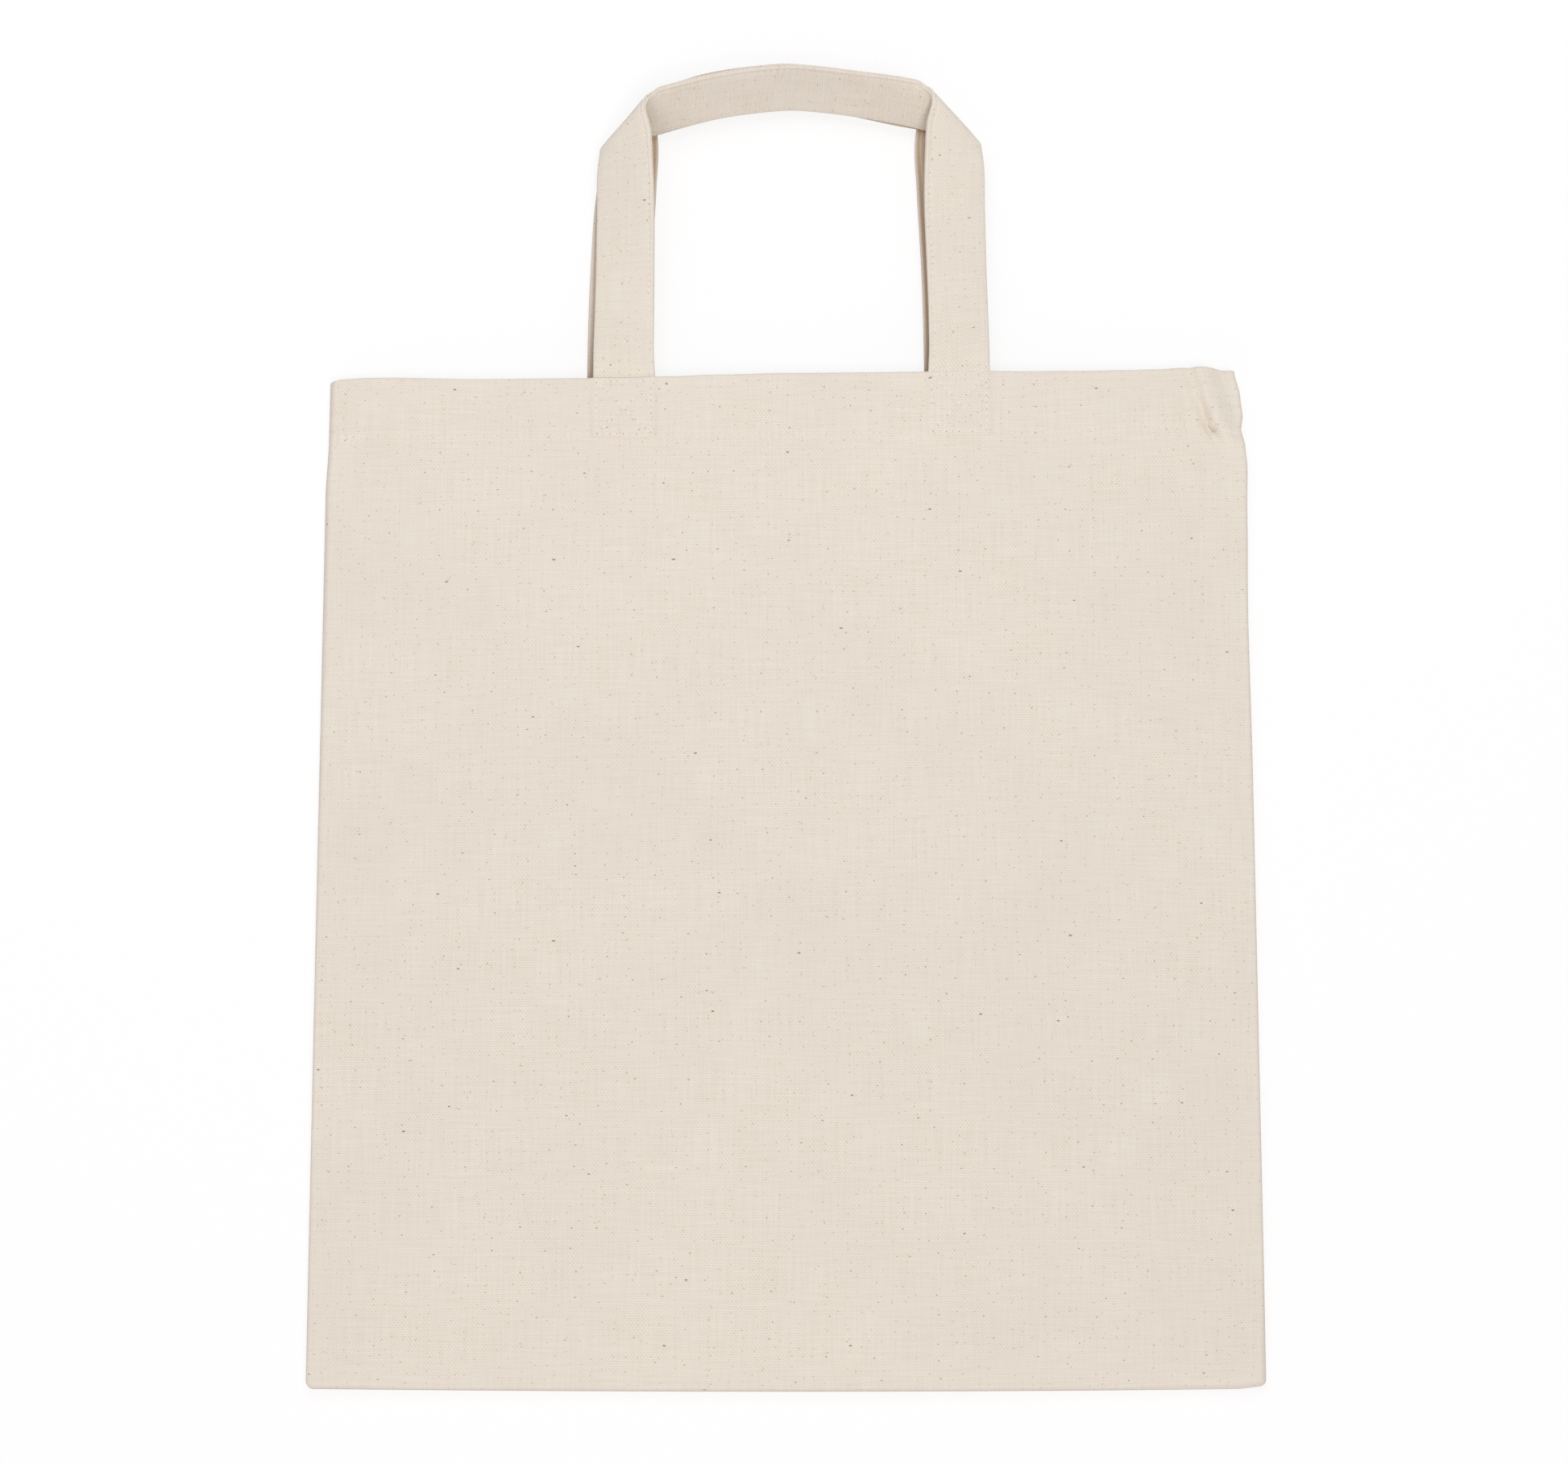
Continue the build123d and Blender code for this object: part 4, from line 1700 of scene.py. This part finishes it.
@dataclass(frozen=True)
class Studio:
    """White floor, soft light and a camera that looks down steeply from the bag's bottom edge."""

    target: Triple = (-1.05, 60.7, 0.0)
    distance: float = 2123.0
    tilt: float = 13.95
    focal_pixels: float = 6467.0
    frame_pixels: float = 1946.0
    sensor: float = 36.0
    clip_end: float = 50000.0
    floor_half: float = 3000.0
    floor_gap: float = 0.15
    paper: str = "#ECECEE"
    paper_glow: float = 1.06
    glow_share: float = 0.75
    fill: str = "#F6EEF0"
    fill_strength: float = 0.475
    lamps: Tuple[Lamp, ...] = (
        Lamp("key_lamp", (1500.0, -3400.0, 7800.0), 3200.0, 266.0, "#FFFCF5"),
        Lamp("top_lamp", (-150.0, 950.0, 1500.0), 1200.0, 9.2, "#FFFFFF"),
        Lamp("front_lamp", (-900.0, -2500.0, 1000.0), 1200.0, 10.5, "#FFEFEA"),
    )

    def camera(self) -> None:
        """Place the camera."""
        data = bpy.data.cameras.new("camera")
        data.sensor_width = self.sensor
        data.lens = self.focal_pixels / self.frame_pixels * self.sensor
        data.clip_end = self.clip_end * MM
        lens = bpy.data.objects.new("camera", data)
        tilt = math.radians(self.tilt)
        back = Vector((0, -math.sin(tilt), math.cos(tilt))) * self.distance
        lens.location = (Vector(self.target) + back) * MM
        lens.rotation_euler = (tilt, 0, 0)
        bpy.context.scene.collection.objects.link(lens)
        bpy.context.scene.camera = lens

    def seen(self, tree: Tree) -> Socket:
        """Tell the rays that show the background in the picture from those that light the bag.

        Args:
            tree: Node tree of the world or the floor.

        Returns:
            A socket that is 1 for camera, glossy and transmission rays.
        """
        path = add(tree, Kind.LIGHT_PATH)
        rays = [path.outputs[name] for name in ("Is Camera Ray", "Is Glossy Ray", "Is Transmission Ray")]
        some = add(tree, Kind.MATH, {0: rays[0], 1: rays[1]}, operation="MAXIMUM").outputs[0]
        return add(tree, Kind.MATH, {0: some, 1: rays[2]}, operation="MAXIMUM").outputs[0]

    def world(self) -> None:
        """Fill light from all round, and white wherever the camera sees past the floor."""
        world = bpy.data.worlds.new("studio")
        world.use_nodes = True
        tree = world.node_tree
        tree.nodes.clear()
        fill = add(tree, Kind.BACKGROUND, {"Color": linear(self.fill), "Strength": self.fill_strength})
        white = add(tree, Kind.BACKGROUND, {"Color": linear("#FFFFFF"), "Strength": 1.0})
        shown = {0: self.seen(tree), 1: fill.outputs[0], 2: white.outputs[0]}
        mixed = add(tree, Kind.MIX_SHADER, shown)
        add(tree, Kind.WORLD_OUT, {"Surface": mixed.outputs[0]})
        bpy.context.scene.world = world

    def floor(self) -> None:
        """Lay the floor of white paper, which shows as plain white under the bag's soft shadow."""
        plane = bmesh.new()
        bmesh.ops.create_grid(plane, x_segments=1, y_segments=1, size=self.floor_half * MM)
        bmesh.ops.translate(plane, verts=plane.verts, vec=(0, 0, -self.floor_gap * MM))
        material = bpy.data.materials.new("white_paper")
        material.use_nodes = True
        tree = material.node_tree
        tree.nodes.clear()
        paper = add(tree, Kind.DIFFUSE, {"Color": linear(self.paper)})
        white = add(tree, Kind.EMISSION, {"Color": linear("#FFFFFF"), "Strength": self.paper_glow})
        share = {0: self.seen(tree), 1: self.glow_share}
        share = add(tree, Kind.MATH, share, operation="MULTIPLY").outputs[0]
        mixed = add(tree, Kind.MIX_SHADER, {0: share, 1: paper.outputs[0], 2: white.outputs[0]})
        add(tree, Kind.SURFACE_OUT, {"Surface": mixed.outputs[0]})
        finish_mesh(plane, "floor", material)

    def build(self) -> None:
        """Set up the camera, the light and the floor."""
        self.camera()
        for lamp in self.lamps:
            lamp.build()
        self.world()
        self.floor()
        bpy.context.scene.view_settings.view_transform = "Standard"


def handle(panel: Panel, route: StrapRoute, mouth: float, canvas: Material, thread: Thread) -> Strap:
    """Set up one handle for its own panel, with the names of its body and loop and its joint's place.

    Args:
        panel: Which panel it is sewn to.
        route: Where its strap runs.
        mouth: y of the mouth.
        canvas: Finish of the strap.
        thread: Its topstitching thread.

    Returns:
        The strap, not yet built.
    """
    node = f"{panel.value}_handle"
    carrier, loop = (Body.FRONT, Body.FRONT_LOOP) if panel is Panel.FRONT else (Body.BAG, Body.BACK_LOOP)
    joints = {joint["name"]: tuple(joint["pos_m"]) for joint in frame["joints"]}
    return Strap(
        name=f"{panel.value}_strap",
        route=route,
        mouth=mouth,
        canvas=canvas,
        thread=thread,
        carrier=carrier,
        loop=loop,
        hinge=joints[f"{node}_swing"],
        nodes=(node, f"{node}_left_end", f"{node}_right_end"),
        stitch_node=f"{node}_stitching",
    )


def main() -> None:
    """Build the bag from its panels to its straps, then the studio round it."""
    logging.basicConfig(level=logging.INFO, format="%(name)s: %(message)s")
    low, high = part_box("back_panel")
    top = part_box("front_panel")[1].z
    form = BagForm(half_width=high.x / MM, bottom=low.y / MM, mouth=high.y / MM, fullness_z=top / MM)

    # One layer of canvas for the body: pale, with a faint warm painted shade where a fold closes.
    body_canvas = CanvasFinish("unbleached_canvas").build()
    # Four layers for the straps: a stronger weave, and brown painted shade where a layer stands close over
    # another.
    strap = CanvasFinish("folded_strap_canvas", dot_depth=0.4, shade_tint="#B4977A", shade_reach=40.0)
    front_canvas = replace(strap, shade_share=0.5, shade_start=0.62).build()
    # The back strap lies in the front one's shade, so this shaded copy has brown painted shade over most of
    # what shows.
    back_canvas = replace(strap, name="shaded_strap_canvas", shade_share=0.8, shade_start=0.84).build()

    # The sewing thread is paler than the canvas, and its needle holes show as brown dots of painted shade.
    thread = Thread(ThreadFinish().build())
    fine_thread = replace(thread, length=2.5, width=0.36, hole=0.3, proud=0.09)
    # Topstitching on the front strap is pulled in, so that the painted shade of its holes is faint.
    soft_finish = ThreadFinish("cotton_topstitching_thread", hole="#D5C8B6").build()
    strap_thread = Thread(soft_finish, width=0.4, hole=0.4, proud=0.08)
    # On the back strap it is sunk in the cloth, and this shaded copy is painted as brown as the shade that
    # it lies in.
    shaded_copy_finish = ThreadFinish("shaded_topstitching_thread", light="#CDBBA0", hole="#BFAA8C").build()
    sunk_thread = Thread(shaded_copy_finish, width=0.34, hole=0.3, proud=0.02)

    BackPanel(form, body_canvas, thread).build()
    FrontPanel(form, body_canvas, thread, fine_thread).build()
    handle(Panel.BACK, BACK_ROUTE, form.mouth, back_canvas, sunk_thread).build()
    handle(Panel.FRONT, FRONT_ROUTE, form.mouth, front_canvas, strap_thread).build()
    Studio().build()


if __name__ == "__main__":
    main()
